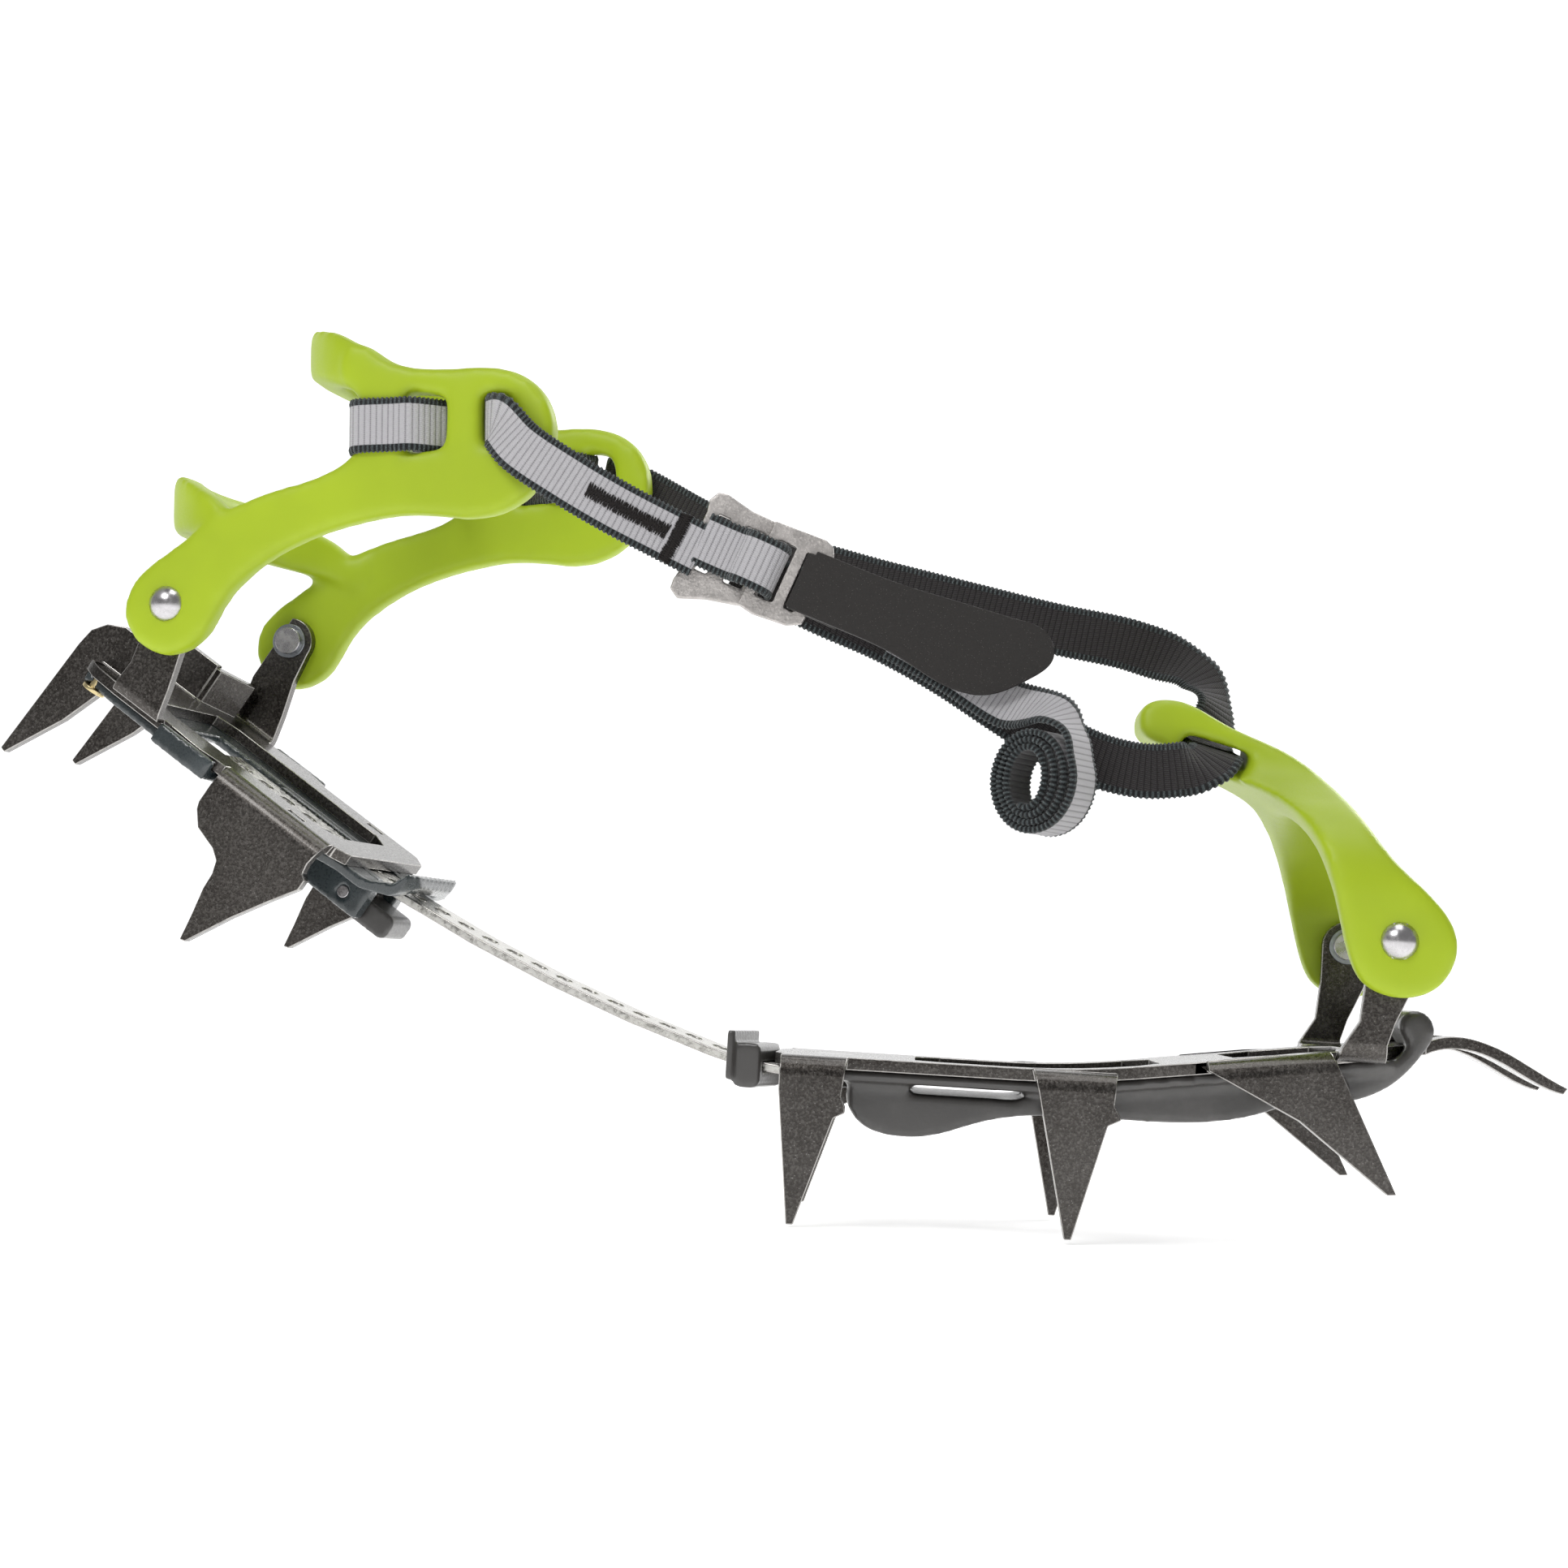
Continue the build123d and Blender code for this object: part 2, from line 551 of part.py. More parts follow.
upper_view = [(53, 46.8), (50, 47.6), (43, 50.6), (32, 54.6), (22, 58), (22, 67), (30, 66.6), (40, 63.4),
    (47, 59.4), (50, 56.6), (53, 55.0)]
lower_view = [(19, 14), (16, 14), (4, 17.6), (-14, 21.6), (-14, 34), (-2, 32.4), (10, 25.6), (16, 20.4),
    (19, 20.4)]
band_thick = 7.5
harness_shape = both(harness_side())
upper_band = rear_band(50, 24, arm_out - 0.2, band_thick, 40, 70) & side_prism(upper_view, -60, 60)
lower_band = rear_band(16, -11, arm_out - 0.3, band_thick - 0.5, 10, 40) & side_prism(lower_view, -60, 60)
harness_shape += upper_band
harness_shape += lower_band
harness_shape -= across(rivet_shank + pivot_fit, 0, 0, -60, 60)
save("heel_harness", harness * harness_shape)

# ---- strap round the harness ----
wrap_low = loop_bar_z - web_width / 2
wrap_out = arm_out + 0.2 + web_thick / 2
wrap_in = arm_in - 0.3 - web_thick / 2
web_rear_x = 46.0           # rear edge of the harness webs that the strap wraps
slot_front_x = 64.5         # where the strap turns in through the first slot
bar_rear_x = 70.0           # where it lies flat behind the harness bar
bar_front_x = 76.0


def wrap_plan(points):
    line = Polyline(*points)
    face = make_face(offset(line, amount=web_thick / 2, side=Side.BOTH))
    return Location((0, 0, wrap_low)) * extrude(face, amount=web_width)


half_wrap = [
    (loop_bar_x - 2.2, wrap_out - 1.4), (bar_front_x, wrap_in), (bar_rear_x, wrap_in), (slot_front_x - 1,
        arm_out - 1.4),
    (slot_front_x - 5, wrap_out), (web_rear_x, wrap_out),
]
wrap_route = [(x, -y) for x, y in half_wrap] + half_wrap[::-1]
save("strap_rear_wrap", harness * (wrap_plan(wrap_route) - harness_shape))


# ---- strap strands ----
def in_model(x, y, z):
    return tuple((harness * Location((x, y, z))).position)


def on_edge(points, first=None, last=None):
    """Stations of webbing that stands on edge through points, with given end stations where it joins on."""
    stations = []
    for i, point in enumerate(points):
        travel = (Vector(*points[min(len(points) - 1, i + 1)]) - Vector(*points[max(0, i - 1)])).normalized()
        stations.append(station(point, (0, 0, 1), travel))
    if first:
        stations[0] = first
    if last:
        stations[-1] = last
    return stations


def station(point, across_dir, travel):
    travel = Vector(*travel).normalized()
    across_dir = Vector(*across_dir)
    width_dir = (across_dir - travel * across_dir.dot(travel)).normalized()
    return Vector(*point), width_dir, travel


strand_y = -26.5
feed_gap = 3.6              # from the buckle's back to the free webbing, which slides askew behind it
sewn_y = strand_y - web_thick / 2 - 0.3
outside = arm_out + web_thick / 2 + 0.6
sewn_route = [
    in_model(loop_bar_x - 0.2, -outside, loop_bar_z), in_model(loop_bar_x + 4, -outside - 0.3,
        loop_bar_z - 2),
    (-85, -29.2, 133.2), (-75, -30.6, 127.2), (-63, -30.2, 121.0), (-52, sewn_y - 1.0, 116.2), (-43.6,
        sewn_y, 112.6),
]
save("strap_sewn_end", webbing(on_edge(sewn_route)))

# Both buckle plates stand upright and follow the strand's slope.
buckle_slope = 21.0
buckle = Location((-32.0, strand_y, 111.1)) * Rotation(0, buckle_slope, 0)
slot_half = web_width / 2 + 0.6


def ladder_plate(outline, slots, y_low):
    plate = side_prism(outline, y_low, y_low + plate_thick)
    for low, high in slots:
        plate -= box(low, high, y_low - 1, y_low + plate_thick + 1, -slot_half, slot_half)
    return plate


frame_outline = [
    (-14.0, 6.4), (-14.6, 9.0), (-13.4, 11.4), (-11.2, 11.9), (-4.5, 10.6), (2.2, 10.5), (4.4, 8.2), (4.4,
        -8.2),
    (1.5, -10.4), (-6, -12.2), (-12, -14.6), (-14.4, -13.2), (-14.6, -11), (-14.0, -7.6),
]
release_outline = [
    (1.4, -10.4), (5.3, -11.1), (13.5, -10.3), (16.5, -8.6), (16.8, -6.9), (16.0, -5), (16.0, 5), (17,
        8.4), (16, 10.4),
    (14, 11.2), (1.4, 10.5),
]
release_y = -plate_thick - fit_gap
save("buckle_sewn_plate", buckle * ladder_plate(frame_outline, [(-11.2, -8.2), (-4.2, 0.6)], 0.0))
save("buckle_release_plate", buckle * ladder_plate(release_outline, [(4.0, 8.4), (11.2, 13.6)], release_y))

tab_thick = 1.6
tab_outline = Spline(
    (12.4, -6.6), (24, -6.3), (40, -6.5), (52, -8.1), (61, -6.4), (68.6, 0.8), (71.8, 8.0), (68,
        12.3), (61, 12.4),
    (48, 10.7), (34, 8.9), (22, 8.2), (13.2, 7.9),
)
tab_edge = Line((13.2, 7.9), (12.4, -6.6))
tab_face = Plane.XZ * make_face(Wire([*tab_outline.edges(), *tab_edge.edges()]))
pull_tab = Location((0, release_y, 0)) * extrude(tab_face, amount=tab_thick)
back_low = release_y + plate_thick
pull_tab += box(11.6, 13.2, release_y - tab_thick, back_low + tab_thick, 0.55 - slot_half, slot_half - 0.05)
pull_tab += box(11.6, 24.0, back_low, back_low + tab_thick, 0.55 - slot_half, slot_half - 0.05)
save("pull_tab", buckle * pull_tab)

hump_low = -2.4
hump_high = 6.4
hump_front = release_y - 1.2
hump_line = Polyline((hump_low, 2.2), (hump_low, hump_front + 1.2), (hump_low + 1.4, hump_front),
    (hump_high - 1.4, hump_front),
                     (hump_high, hump_front + 1.2), (hump_high, 2.2))
hump = Location((0, 0, -web_width / 2)) * extrude(make_face(offset(hump_line, amount=web_thick / 2)),
    amount=web_width)
save("strap_buckle_turn", buckle * hump)

# ---- free webbing: behind the buckle, through the bail's tunnel and back along the left side ----
feed_y = strand_y + plate_thick + feed_gap + web_thick / 2
tunnel_x = 77.0
tunnel_z = 76.2
tunnel_roll = 10.0
tunnel_pitch = 14.0
tongue_half = 13.0


def tunnel_station(y):
    z = tunnel_z + y * tan(radians(tunnel_roll))
    width_dir = (-cos(radians(tunnel_pitch)), 0, sin(radians(tunnel_pitch)))
    return station((tunnel_x, y, z), width_dir, (0, 1, tan(radians(tunnel_roll))))


toe_join = station((60, feed_y + 0.8, 69.0), (0, 0, 1), (1, 0.1, 0.02))
far_join = station((60, 28.6, 102.6), (0, -0.1, 1), (-0.96, 0.2, 0.16))
near_route = [
    tuple((buckle * Location((-3.0, plate_thick + feed_gap + web_thick / 2, -1.5))).position), (-16,
        feed_y, 102.4),
    (0, feed_y, 96.4), (14, feed_y, 89.6), (28, feed_y, 81.4), (40, feed_y, 74.6), (50, feed_y, 70.6),
    (60, feed_y + 0.8, 69.0),
]
save("strap_near_strand", webbing(on_edge(near_route, last=toe_join)))
toe_turn = [
    toe_join,
    station((68.5, -18.6, 69.8), (-0.12, 0.1, 1), (0.9, 0.42, 0.12)),
    station((74.6, -15.4, 71.6), (-0.7, 0.35, 0.62), (0.55, 0.8, 0.16)),
    tunnel_station(-tongue_half + 1.0),
    tunnel_station(tongue_half - 1.0),
    station((78.2, 16.6, 81.2), (-0.85, -0.3, 0.35), (0.08, 0.8, 0.55)),
    station((79.4, 21.0, 88.6), (-0.6, -0.6, 0.2), (-0.08, 0.34, 0.94)),
    station((74.6, 25.0, 96.6), (-0.5, -0.5, -0.6), (-0.75, 0.16, 0.62)),
    station((60, 28.6, 102.6), (0, 0.1, -1), (-0.96, 0.2, 0.16)),
]
save("strap_toe_loop", webbing(toe_turn))
far_end = in_model(loop_bar_x + 7.0, outside + 2.1, loop_bar_z - 1.6)
far_route = [(60, 28.6, 102.6), (40, 33.0, 106.4), (16, 38.0, 111.6), (-12, 44.0, 118.0),
    (-42, 50.6, 126.4), far_end]
save("strap_far_strand", webbing(on_edge(far_route, first=far_join)))
far_stub = [in_model(loop_bar_x - 0.2, outside, loop_bar_z),
    in_model(loop_bar_x + 3.6, outside, loop_bar_z - 0.8)]
save("strap_far_stub", webbing(on_edge(far_stub)))

# ---- tail: under the tab, turned on its side and rolled up ----
roll_x = 36.6
roll_z = 64.2
roll_half_x = 9.2
roll_half_z = 12.2
roll_yaw = 28.0
roll_y = strand_y - 9.0
roll_axis = (sin(radians(roll_yaw)), cos(radians(roll_yaw)), 0)
roll = extrude(Plane.XZ * (Ellipse(roll_half_x, roll_half_z) - Ellipse(2.0, 5.0)), amount=web_width / 2,
    both=True)
turned = Location((roll_x, roll_y, roll_z)) * Rotation(0, 0, -roll_yaw)


def on_roll(x, z):
    return tuple((turned * Location((x, 0, z))).position)


tail_route = [
    station((2, strand_y - 0.4, 96.4), (0.25, 0, 1), (0.92, 0, -0.38)),
    station((16, strand_y - 0.4, 89.2), (0.3, 0.0, 0.95), (0.92, -0.02, -0.38)),
    station((30, strand_y + 0.7, 80.8), (0.38, 0.25, 0.85), (0.9, -0.06, -0.42)),
    station(on_roll(5.4, 17.2), (0.3, 0.8, 0.5), (0.86, -0.2, -0.3)),
    station(on_roll(9.6, 9.4), roll_axis, (0.5, 0, -0.86)),
]
save("strap_tail", webbing(tail_route))
save("strap_tail_roll", turned * roll)

# ---- toe bail ----
bail_in = toe_half_width + fit_gap
bail_out = bail_in + arm_thick


def bail_side():
    outline = Spline(
        (59.5, 81), (61, 85), (66, 86.4), (79, 81.4), (94, 75), (104, 66.6), (113, 52), (122,
            43.4), (128.6, 33),
        (124.8, 23.6), (116.4, 21), (108.4, 24.4), (105.6, 30), (102, 43), (96.4, 57.6), (88, 66), (76, 70.6),
        (66, 76), periodic=True,
    )
    return Location((0, 60, 0)) * extrude(Plane.XZ * make_face(outline), amount=120)


def bail_front():
    """Wishbone seen from the toe: two upright arms that close in to the tongue."""
    outer = Polyline((-bail_out, 10), (-bail_out, 42))
    outer_curve = Spline((-bail_out, 42), (-39, 58), (-22, 66.4), (-13.6, 72), (-10.4, 80), (-9, 90))
    top = Polyline((-9, 90), (9, 90))
    other_curve = Spline((9, 90), (10.4, 80), (13.6, 72), (22, 66.4), (39, 58), (bail_out, 42))
    other = Polyline((bail_out, 42), (bail_out, 10), (bail_in, 10), (bail_in, 40))
    inner = Spline((bail_in, 40), (31, 54.0), (13, 60.6), (0, 62), (-13, 60.6), (-31, 54.0), (-bail_in, 40))
    last = Polyline((-bail_in, 40), (-bail_in, 10), (-bail_out, 10))
    face = Plane.YZ * make_face(Wire([*outer.edges(), *outer_curve.edges(), *top.edges(),
        *other_curve.edges(), *other.edges(), *inner.edges(), *last.edges()]))
    return Location((50, 0, 0)) * extrude(face, amount=100)


bail = bail_side() & bail_front()
tunnel = Location((tunnel_x, 0, tunnel_z)) * Rotation(tunnel_roll, 0, 0) * Rotation(0, tunnel_pitch, 0)
tunnel_wide = web_width + 4.2
tunnel_high = web_thick + 4.0
tunnel *= Box(tunnel_wide, 60, tunnel_high)
bail -= tunnel
bail -= webbing(toe_turn[1:-1], tunnel_wide, tunnel_high)
bail -= across(rivet_shank + pivot_fit, toe_pivot_x, toe_pivot_z, -60, 60)
save("toe_bail", bail)
print(len(nodes), "sub-parts")
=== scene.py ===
"""Finished looks of a walking crampon: steel frames, moulded harness and bail, woven strap, buckle and rivets."""

import json
import math
from math import cos, pi, radians, sin, tan

import bmesh
import bpy
from bpy.props import FloatProperty, FloatVectorProperty, IntProperty, PointerProperty
from mathutils import Matrix, Vector


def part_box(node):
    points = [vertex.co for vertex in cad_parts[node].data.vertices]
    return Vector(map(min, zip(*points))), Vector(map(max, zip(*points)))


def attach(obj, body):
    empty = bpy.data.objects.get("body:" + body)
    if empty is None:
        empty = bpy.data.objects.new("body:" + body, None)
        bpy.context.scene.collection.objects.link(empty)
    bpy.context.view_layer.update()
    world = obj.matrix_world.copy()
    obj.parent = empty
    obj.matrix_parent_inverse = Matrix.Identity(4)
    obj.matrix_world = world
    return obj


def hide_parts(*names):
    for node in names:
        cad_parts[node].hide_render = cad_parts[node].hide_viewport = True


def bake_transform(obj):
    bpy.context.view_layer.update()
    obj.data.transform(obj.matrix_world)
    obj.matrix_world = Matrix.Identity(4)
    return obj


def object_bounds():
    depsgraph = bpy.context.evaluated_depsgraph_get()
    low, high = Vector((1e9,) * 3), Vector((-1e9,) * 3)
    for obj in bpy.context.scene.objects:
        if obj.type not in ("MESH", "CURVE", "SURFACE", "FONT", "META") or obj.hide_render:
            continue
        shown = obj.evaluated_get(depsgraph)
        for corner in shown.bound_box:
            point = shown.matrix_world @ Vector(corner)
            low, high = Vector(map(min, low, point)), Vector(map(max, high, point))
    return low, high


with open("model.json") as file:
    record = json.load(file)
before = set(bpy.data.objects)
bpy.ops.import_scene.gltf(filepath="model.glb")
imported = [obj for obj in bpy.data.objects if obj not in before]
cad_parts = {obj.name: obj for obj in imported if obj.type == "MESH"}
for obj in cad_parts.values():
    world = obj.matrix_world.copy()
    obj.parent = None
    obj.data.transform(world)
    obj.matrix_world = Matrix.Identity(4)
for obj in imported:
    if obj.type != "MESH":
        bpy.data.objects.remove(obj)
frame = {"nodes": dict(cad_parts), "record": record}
CAD_BOX = [list(corner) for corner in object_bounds()]

bl_info = {
    "name": "Walking crampon finishes",
    "version": (1, 0, 0),
    "blender": (4, 5, 0),
    "location": "View3D > Sidebar > Crampon",
    "description": "Finishes the steel, mouldings, webbing and buckle of a crampon",
    "category": "Object",
}

MM = 0.001
BODIES = frame["record"]["behaviour"]["bodies"]
BODY_OF = {node: body for body, members in BODIES.items() for node in members}


# ---- shader maths ----
class Num:
    """A number that varies over a surface. Arithmetic on it adds Math nodes."""

    def __init__(self, look, socket):
        self.look = look
        self.socket = socket

    def _math(self, operation, *values):
        return self.look.node("ShaderNodeMath", {"operation": operation}, dict(enumerate(values)))

    def __add__(self, other):
        return self._math("ADD", self, other)

    def __sub__(self, other):
        return self._math("SUBTRACT", self, other)

    def __rsub__(self, other):
        return self._math("SUBTRACT", other, self)

    def __mul__(self, other):
        return self._math("MULTIPLY", self, other)

    def __gt__(self, other):
        return self._math("GREATER_THAN", self, other)

    def __lt__(self, other):
        return self._math("LESS_THAN", self, other)

    def __abs__(self):
        return self._math("ABSOLUTE", self)

    __radd__ = __add__
    __rmul__ = __mul__

    def sine(self):
        return self._math("SINE", self)

    def power(self, exponent):
        return self._math("POWER", self, exponent)

    def ramp(self, low, high, to_low=0.0, to_high=1.0):
        settings = {"clamp": True, "interpolation_type": "SMOOTHSTEP"}
        return self.look.node("ShaderNodeMapRange", settings,
            {0: self, 1: low, 2: high, 3: to_low, 4: to_high})


class Look:
    """One material and the nodes that make it."""

    def __init__(self, name, roughness=0.5, metallic=0.0, coat=0.0, coat_roughness=0.1, specular=0.5,
        sheen=0.0):
        self.material = bpy.data.materials.new(name)
        self.material.use_nodes = True
        self.tree = self.material.node_tree
        self.shader = self.tree.nodes["Principled BSDF"]
        self.shader.inputs["Roughness"].default_value = roughness
        self.shader.inputs["Metallic"].default_value = metallic
        self.shader.inputs["Coat Weight"].default_value = coat
        self.shader.inputs["Coat Roughness"].default_value = coat_roughness
        self.shader.inputs["Specular IOR Level"].default_value = specular
        self.shader.inputs["Sheen Weight"].default_value = sheen

    def node(self, kind, settings, values, out=0):
        """Adds one node. Its settings are set first, then its sockets are given values or links."""
        made = self.tree.nodes.new(kind)
        for key, value in settings.items():
            setattr(made, key, value)
        for key, value in values.items():
            if isinstance(value, Num):
                self.tree.links.new(value.socket, made.inputs[key])
            else:
                made.inputs[key].default_value = value
        return Num(self, made.outputs[out])

    def place(self, scale=(1, 1, 1), turn=(0, 0, 0)):
        """Object coordinates, scaled and turned."""
        here = self.node("ShaderNodeTexCoord", {}, {}, "Object")
        return self.node("ShaderNodeMapping", {}, {"Vector": here, "Scale": scale, "Rotation": turn})

    def noise(self, scale, detail=2.0, roughness=0.5, where=None):
        where = where or self.place()
        return self.node("ShaderNodeTexNoise", {}, {
            "Vector": where, "Scale": scale, "Detail": detail, "Roughness": roughness})

    def cells(self, scale, where=None, feature="F1"):
        where = where or self.place()
        return self.node("ShaderNodeTexVoronoi", {"feature": feature}, {"Vector": where, "Scale": scale})

    def attribute(self, name):
        return self.node("ShaderNodeAttribute", {"attribute_name": name}, {}, "Fac")

    def mix(self, factor, first, second):
        """A colour between two colours."""
        first = first if isinstance(first, Num) else (*first[:3], 1)
        second = second if isinstance(second, Num) else (*second[:3], 1)
        return self.node("ShaderNodeMix", {"data_type": "RGBA"}, {0: factor, 6: first, 7: second}, 2)

    def feed(self, **sockets):
        """Gives shader sockets their varying values; words in a name are joined by underscores."""
        for name, value in sockets.items():
            self.tree.links.new(value.socket, self.shader.inputs[name.replace("_", " ")])

    def bump(self, height, strength, distance):
        normal = self.node("ShaderNodeBump", {},
            {"Height": height, "Strength": strength, "Distance": distance})
        self.feed(Normal=normal)
        return self.material


def coated_steel(name, settings, tone=1.0):
    """Dark electrophoretic coat with a fine sparkling grain and paler worn spots."""
    look = Look(name, metallic=1.0, coat=0.5, coat_roughness=0.12)
    grain = look.noise(1500, 3, 0.75)
    flecks = look.cells(1900)
    cloud = look.noise(38, 3, 0.55)
    fleck = flecks.ramp(0.22, 0.08)
    dark = [channel * tone for channel in settings.coat_colour]
    pale = [channel * tone for channel in settings.worn_colour]
    colour = look.mix(cloud.ramp(0.35, 0.7) * 0.3 + grain.ramp(0.42, 0.66) * 0.7, dark, pale)
    colour = look.mix(fleck * grain.ramp(0.45, 0.6) * 0.7, colour, settings.edge_colour)
    look.feed(Base_Color=colour, Roughness=grain.ramp(0.3, 0.7, 0.22, 0.42))
    return look.bump(grain, 0.5, 0.00016)


def bright_edge(settings):
    """Sheared and worn edges, where the coat has gone."""
    look = Look("steel_worn_edge", metallic=1.0)
    streak = look.noise(520, 2, 0.5)
    colour = look.mix(streak.ramp(0.2, 0.6), [channel * 0.6 for channel in settings.edge_colour],
        settings.edge_colour)
    look.feed(Base_Color=colour, Roughness=streak.ramp(0.3, 0.7, 0.2, 0.34))
    return look.bump(streak, 0.15, 0.0001)


def zinc_strip(settings):
    look = Look("zinc_strip", metallic=1.0)
    grain = look.noise(700, 3, 0.6)
    cloud = look.noise(70, 2)
    colour = look.mix(grain.ramp(0.25, 0.6), (0.30, 0.29, 0.27), settings.zinc_colour)
    colour = look.mix(cloud.ramp(0.4, 0.7) * 0.4, colour, (0.62, 0.61, 0.56))
    look.feed(Base_Color=colour, Roughness=grain.ramp(0.3, 0.75, 0.2, 0.42))
    return look.bump(grain, 0.3, 0.00014)


def polished_steel(name, colour, roughness=0.17):
    look = Look(name, metallic=1.0)
    smear = look.noise(420, 3, 0.6)
    look.feed(
        Base_Color=look.mix(smear.ramp(0.3, 0.7), [c * 0.78 for c in colour], colour),
        Roughness=smear.ramp(0.3, 0.7, roughness, roughness + 0.14))
    return look.bump(smear, 0.12, 0.00008)


def moulded_green(settings):
    """Satin elastomer with a faint cloudiness and a very fine moulded skin."""
    look = Look("green_elastomer", roughness=0.46, specular=0.42, coat=0.0, sheen=0.0)
    cloud = look.noise(30, 3, 0.5)
    skin = look.noise(3200, 2, 0.6)
    base = Vector(settings.green_colour)
    colour = look.mix(cloud.ramp(0.3, 0.7), base * 0.93, base * 1.05)
    look.shader.inputs["Subsurface Weight"].default_value = 0.12
    look.shader.inputs["Subsurface Radius"].default_value = (0.002, 0.003, 0.0006)
    look.feed(Base_Color=colour, Roughness=skin.ramp(0.3, 0.7, 0.40, 0.52))
    return look.bump(skin + cloud * 1.5, 0.10, 0.00012)


def moulded_grey(name, colour, roughness=0.34):
    look = Look(name, specular=0.6, coat=0.5, coat_roughness=0.16)
    skin = look.noise(1700, 3, 0.6)
    wear = look.noise(60, 4, 0.6)
    base = Vector(colour)
    look.feed(
        Base_Color=look.mix(wear.ramp(0.45, 0.75), base, base * 1.6 + Vector((0.012, 0.012, 0.012))),
        Roughness=skin.ramp(0.3, 0.7, roughness - 0.05, roughness + 0.12))
    return look.bump(skin, 0.2, 0.0001)


def tumbled_alloy(settings):
    look = Look("tumbled_alloy", metallic=1.0)
    pits = look.cells(1500)
    fine = look.noise(2200, 3, 0.7)
    cloud = look.noise(160, 4, 0.65)
    base = Vector(settings.alloy_colour)
    colour = look.mix(cloud.ramp(0.35, 0.7), base * 0.72, base)
    colour = look.mix(fine.ramp(0.5, 0.72) * 0.5, colour, base * 1.35)
    look.feed(Base_Color=colour, Roughness=fine.ramp(0.3, 0.7, 0.34, 0.56))
    return look.bump(fine * 0.7 + pits * 0.5 + cloud, 0.45, 0.00022)


def speckled_tab(settings):
    """Black sheet with a fine pale grain."""
    look = Look("black_tab", specular=0.4)
    speck = look.cells(1900)
    fine = look.noise(2400, 2, 0.7)
    base = Vector(settings.tab_colour)
    colour = look.mix(fine.ramp(0.35, 0.7), base * 0.8, base * 1.35)
    colour = look.mix(speck.ramp(0.16, 0.05) * 0.55, colour, (0.20, 0.19, 0.17))
    look.feed(Base_Color=colour, Roughness=fine.ramp(0.3, 0.7, 0.48, 0.66))
    return look.bump(fine + speck * 0.6, 0.35, 0.00016)


def woven(settings):
    """Flat webbing, read from the band's own attributes: metres along, -1 to 1 across, 1 on the light face."""
    look = Look("webbing", specular=0.25, sheen=0.25)
    look.shader.inputs["Roughness"].default_value = 0.8
    along = look.attribute("along")
    across = look.attribute("across")
    side = look.attribute("side")
    half = settings.strap_width / 2
    rib = abs((along * (pi / settings.rib_pitch)).sine())
    groove = rib.ramp(0.62, 0.08)
    yarn = (across * (half * 2 * pi / 0.00046) + along * (2 * pi / 0.0028)).sine()
    fibre = (along * (2 * pi / 0.00024) + across * (half * 2 * pi / 0.0011)).sine()
    fuzz = look.noise(5200, 2, 0.7)
    light = Vector(settings.light_colour)
    # painted shade: the pale face is darkened to 0.68 in the grooves between the ribs
    face = look.mix(groove, light, light * 0.68)
    face = look.mix(groove * (yarn > 0.25) * 0.6, face, (0.11, 0.105, 0.11))
    face = look.mix(fuzz.ramp(0.35, 0.7) * 0.3, face, light * 1.15)
    dark = Vector(settings.dark_colour)
    # painted shade: the dark back is darkened to half in the grooves between the ribs
    back = look.mix(groove, dark, dark * 0.5)
    back = look.mix((1 - groove) * (yarn > 0.72) * 0.35, back, (0.11, 0.12, 0.12))
    edge_mask = abs(across).ramp(0.73, 0.77)
    knob = (along * (2 * pi / settings.knob_pitch)).sine()
    # these specks mask the painted glints on the selvedge
    speck = fuzz.ramp(0.55, 0.68)
    # painted shade: the selvedge goes near-black between its knobs and lighter on their crests
    selvedge = look.mix(knob.ramp(-0.6, 0.9), (0.006, 0.007, 0.008), settings.selvedge_colour)
    # painted glints: pale teal specks on the knob crests of the selvedge
    selvedge = look.mix(speck * knob.ramp(0.1, 0.8) * 0.8, selvedge, (0.30, 0.35, 0.35))
    colour = look.mix(side > 0.5, back, face)
    colour = look.mix(edge_mask, colour, selvedge)
    look.feed(Base_Color=colour)
    height = (1 - groove) * 0.5 + yarn * 0.16 + fibre * 0.10 + fuzz * 0.35
    return look.bump(height, 0.75, 0.00028)


def stitch_thread():
    look = Look("black_thread", specular=0.25)
    ply = look.noise(4200, 2, 0.6)
    look.feed(
        Base_Color=look.mix(ply.ramp(0.35, 0.7), (0.004, 0.003, 0.003), (0.018, 0.014, 0.013)),
        Roughness=ply.ramp(0.3, 0.7, 0.55, 0.75))
    return look.bump(ply, 0.4, 0.0001)


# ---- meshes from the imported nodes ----
def merged_copy(node):
    """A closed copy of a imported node's mesh, with its flat faces whole again."""
    source = frame["nodes"][node].data
    work = bmesh.new()
    work.from_mesh(source)
    bmesh.ops.remove_doubles(work, verts=work.verts, dist=2e-6)
    bmesh.ops.dissolve_limit(
        work, angle_limit=radians(0.6), use_dissolve_boundaries=False, verts=work.verts, edges=work.edges)
    mesh = bpy.data.meshes.new(node + "_copy")
    work.to_mesh(mesh)
    work.free()
    mesh.materials.clear()
    return mesh


def new_piece(name, mesh):
    piece = bpy.data.objects.new(name, mesh)
    bpy.context.scene.collection.objects.link(piece)
    return piece


def settle(piece):
    """Applies a piece's modifiers, so its mesh is plain."""
    graph = bpy.context.evaluated_depsgraph_get()
    mesh = bpy.data.meshes.new_from_object(piece.evaluated_get(graph), depsgraph=graph)
    piece.modifiers.clear()
    old = piece.data
    piece.data = mesh
    bpy.data.meshes.remove(old)
    return mesh


def stand_for(piece, *nodes):
    """The piece rides on its nodes' body, and they aren't shown."""
    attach(piece, BODY_OF[nodes[0]])
    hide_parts(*nodes)
    return piece


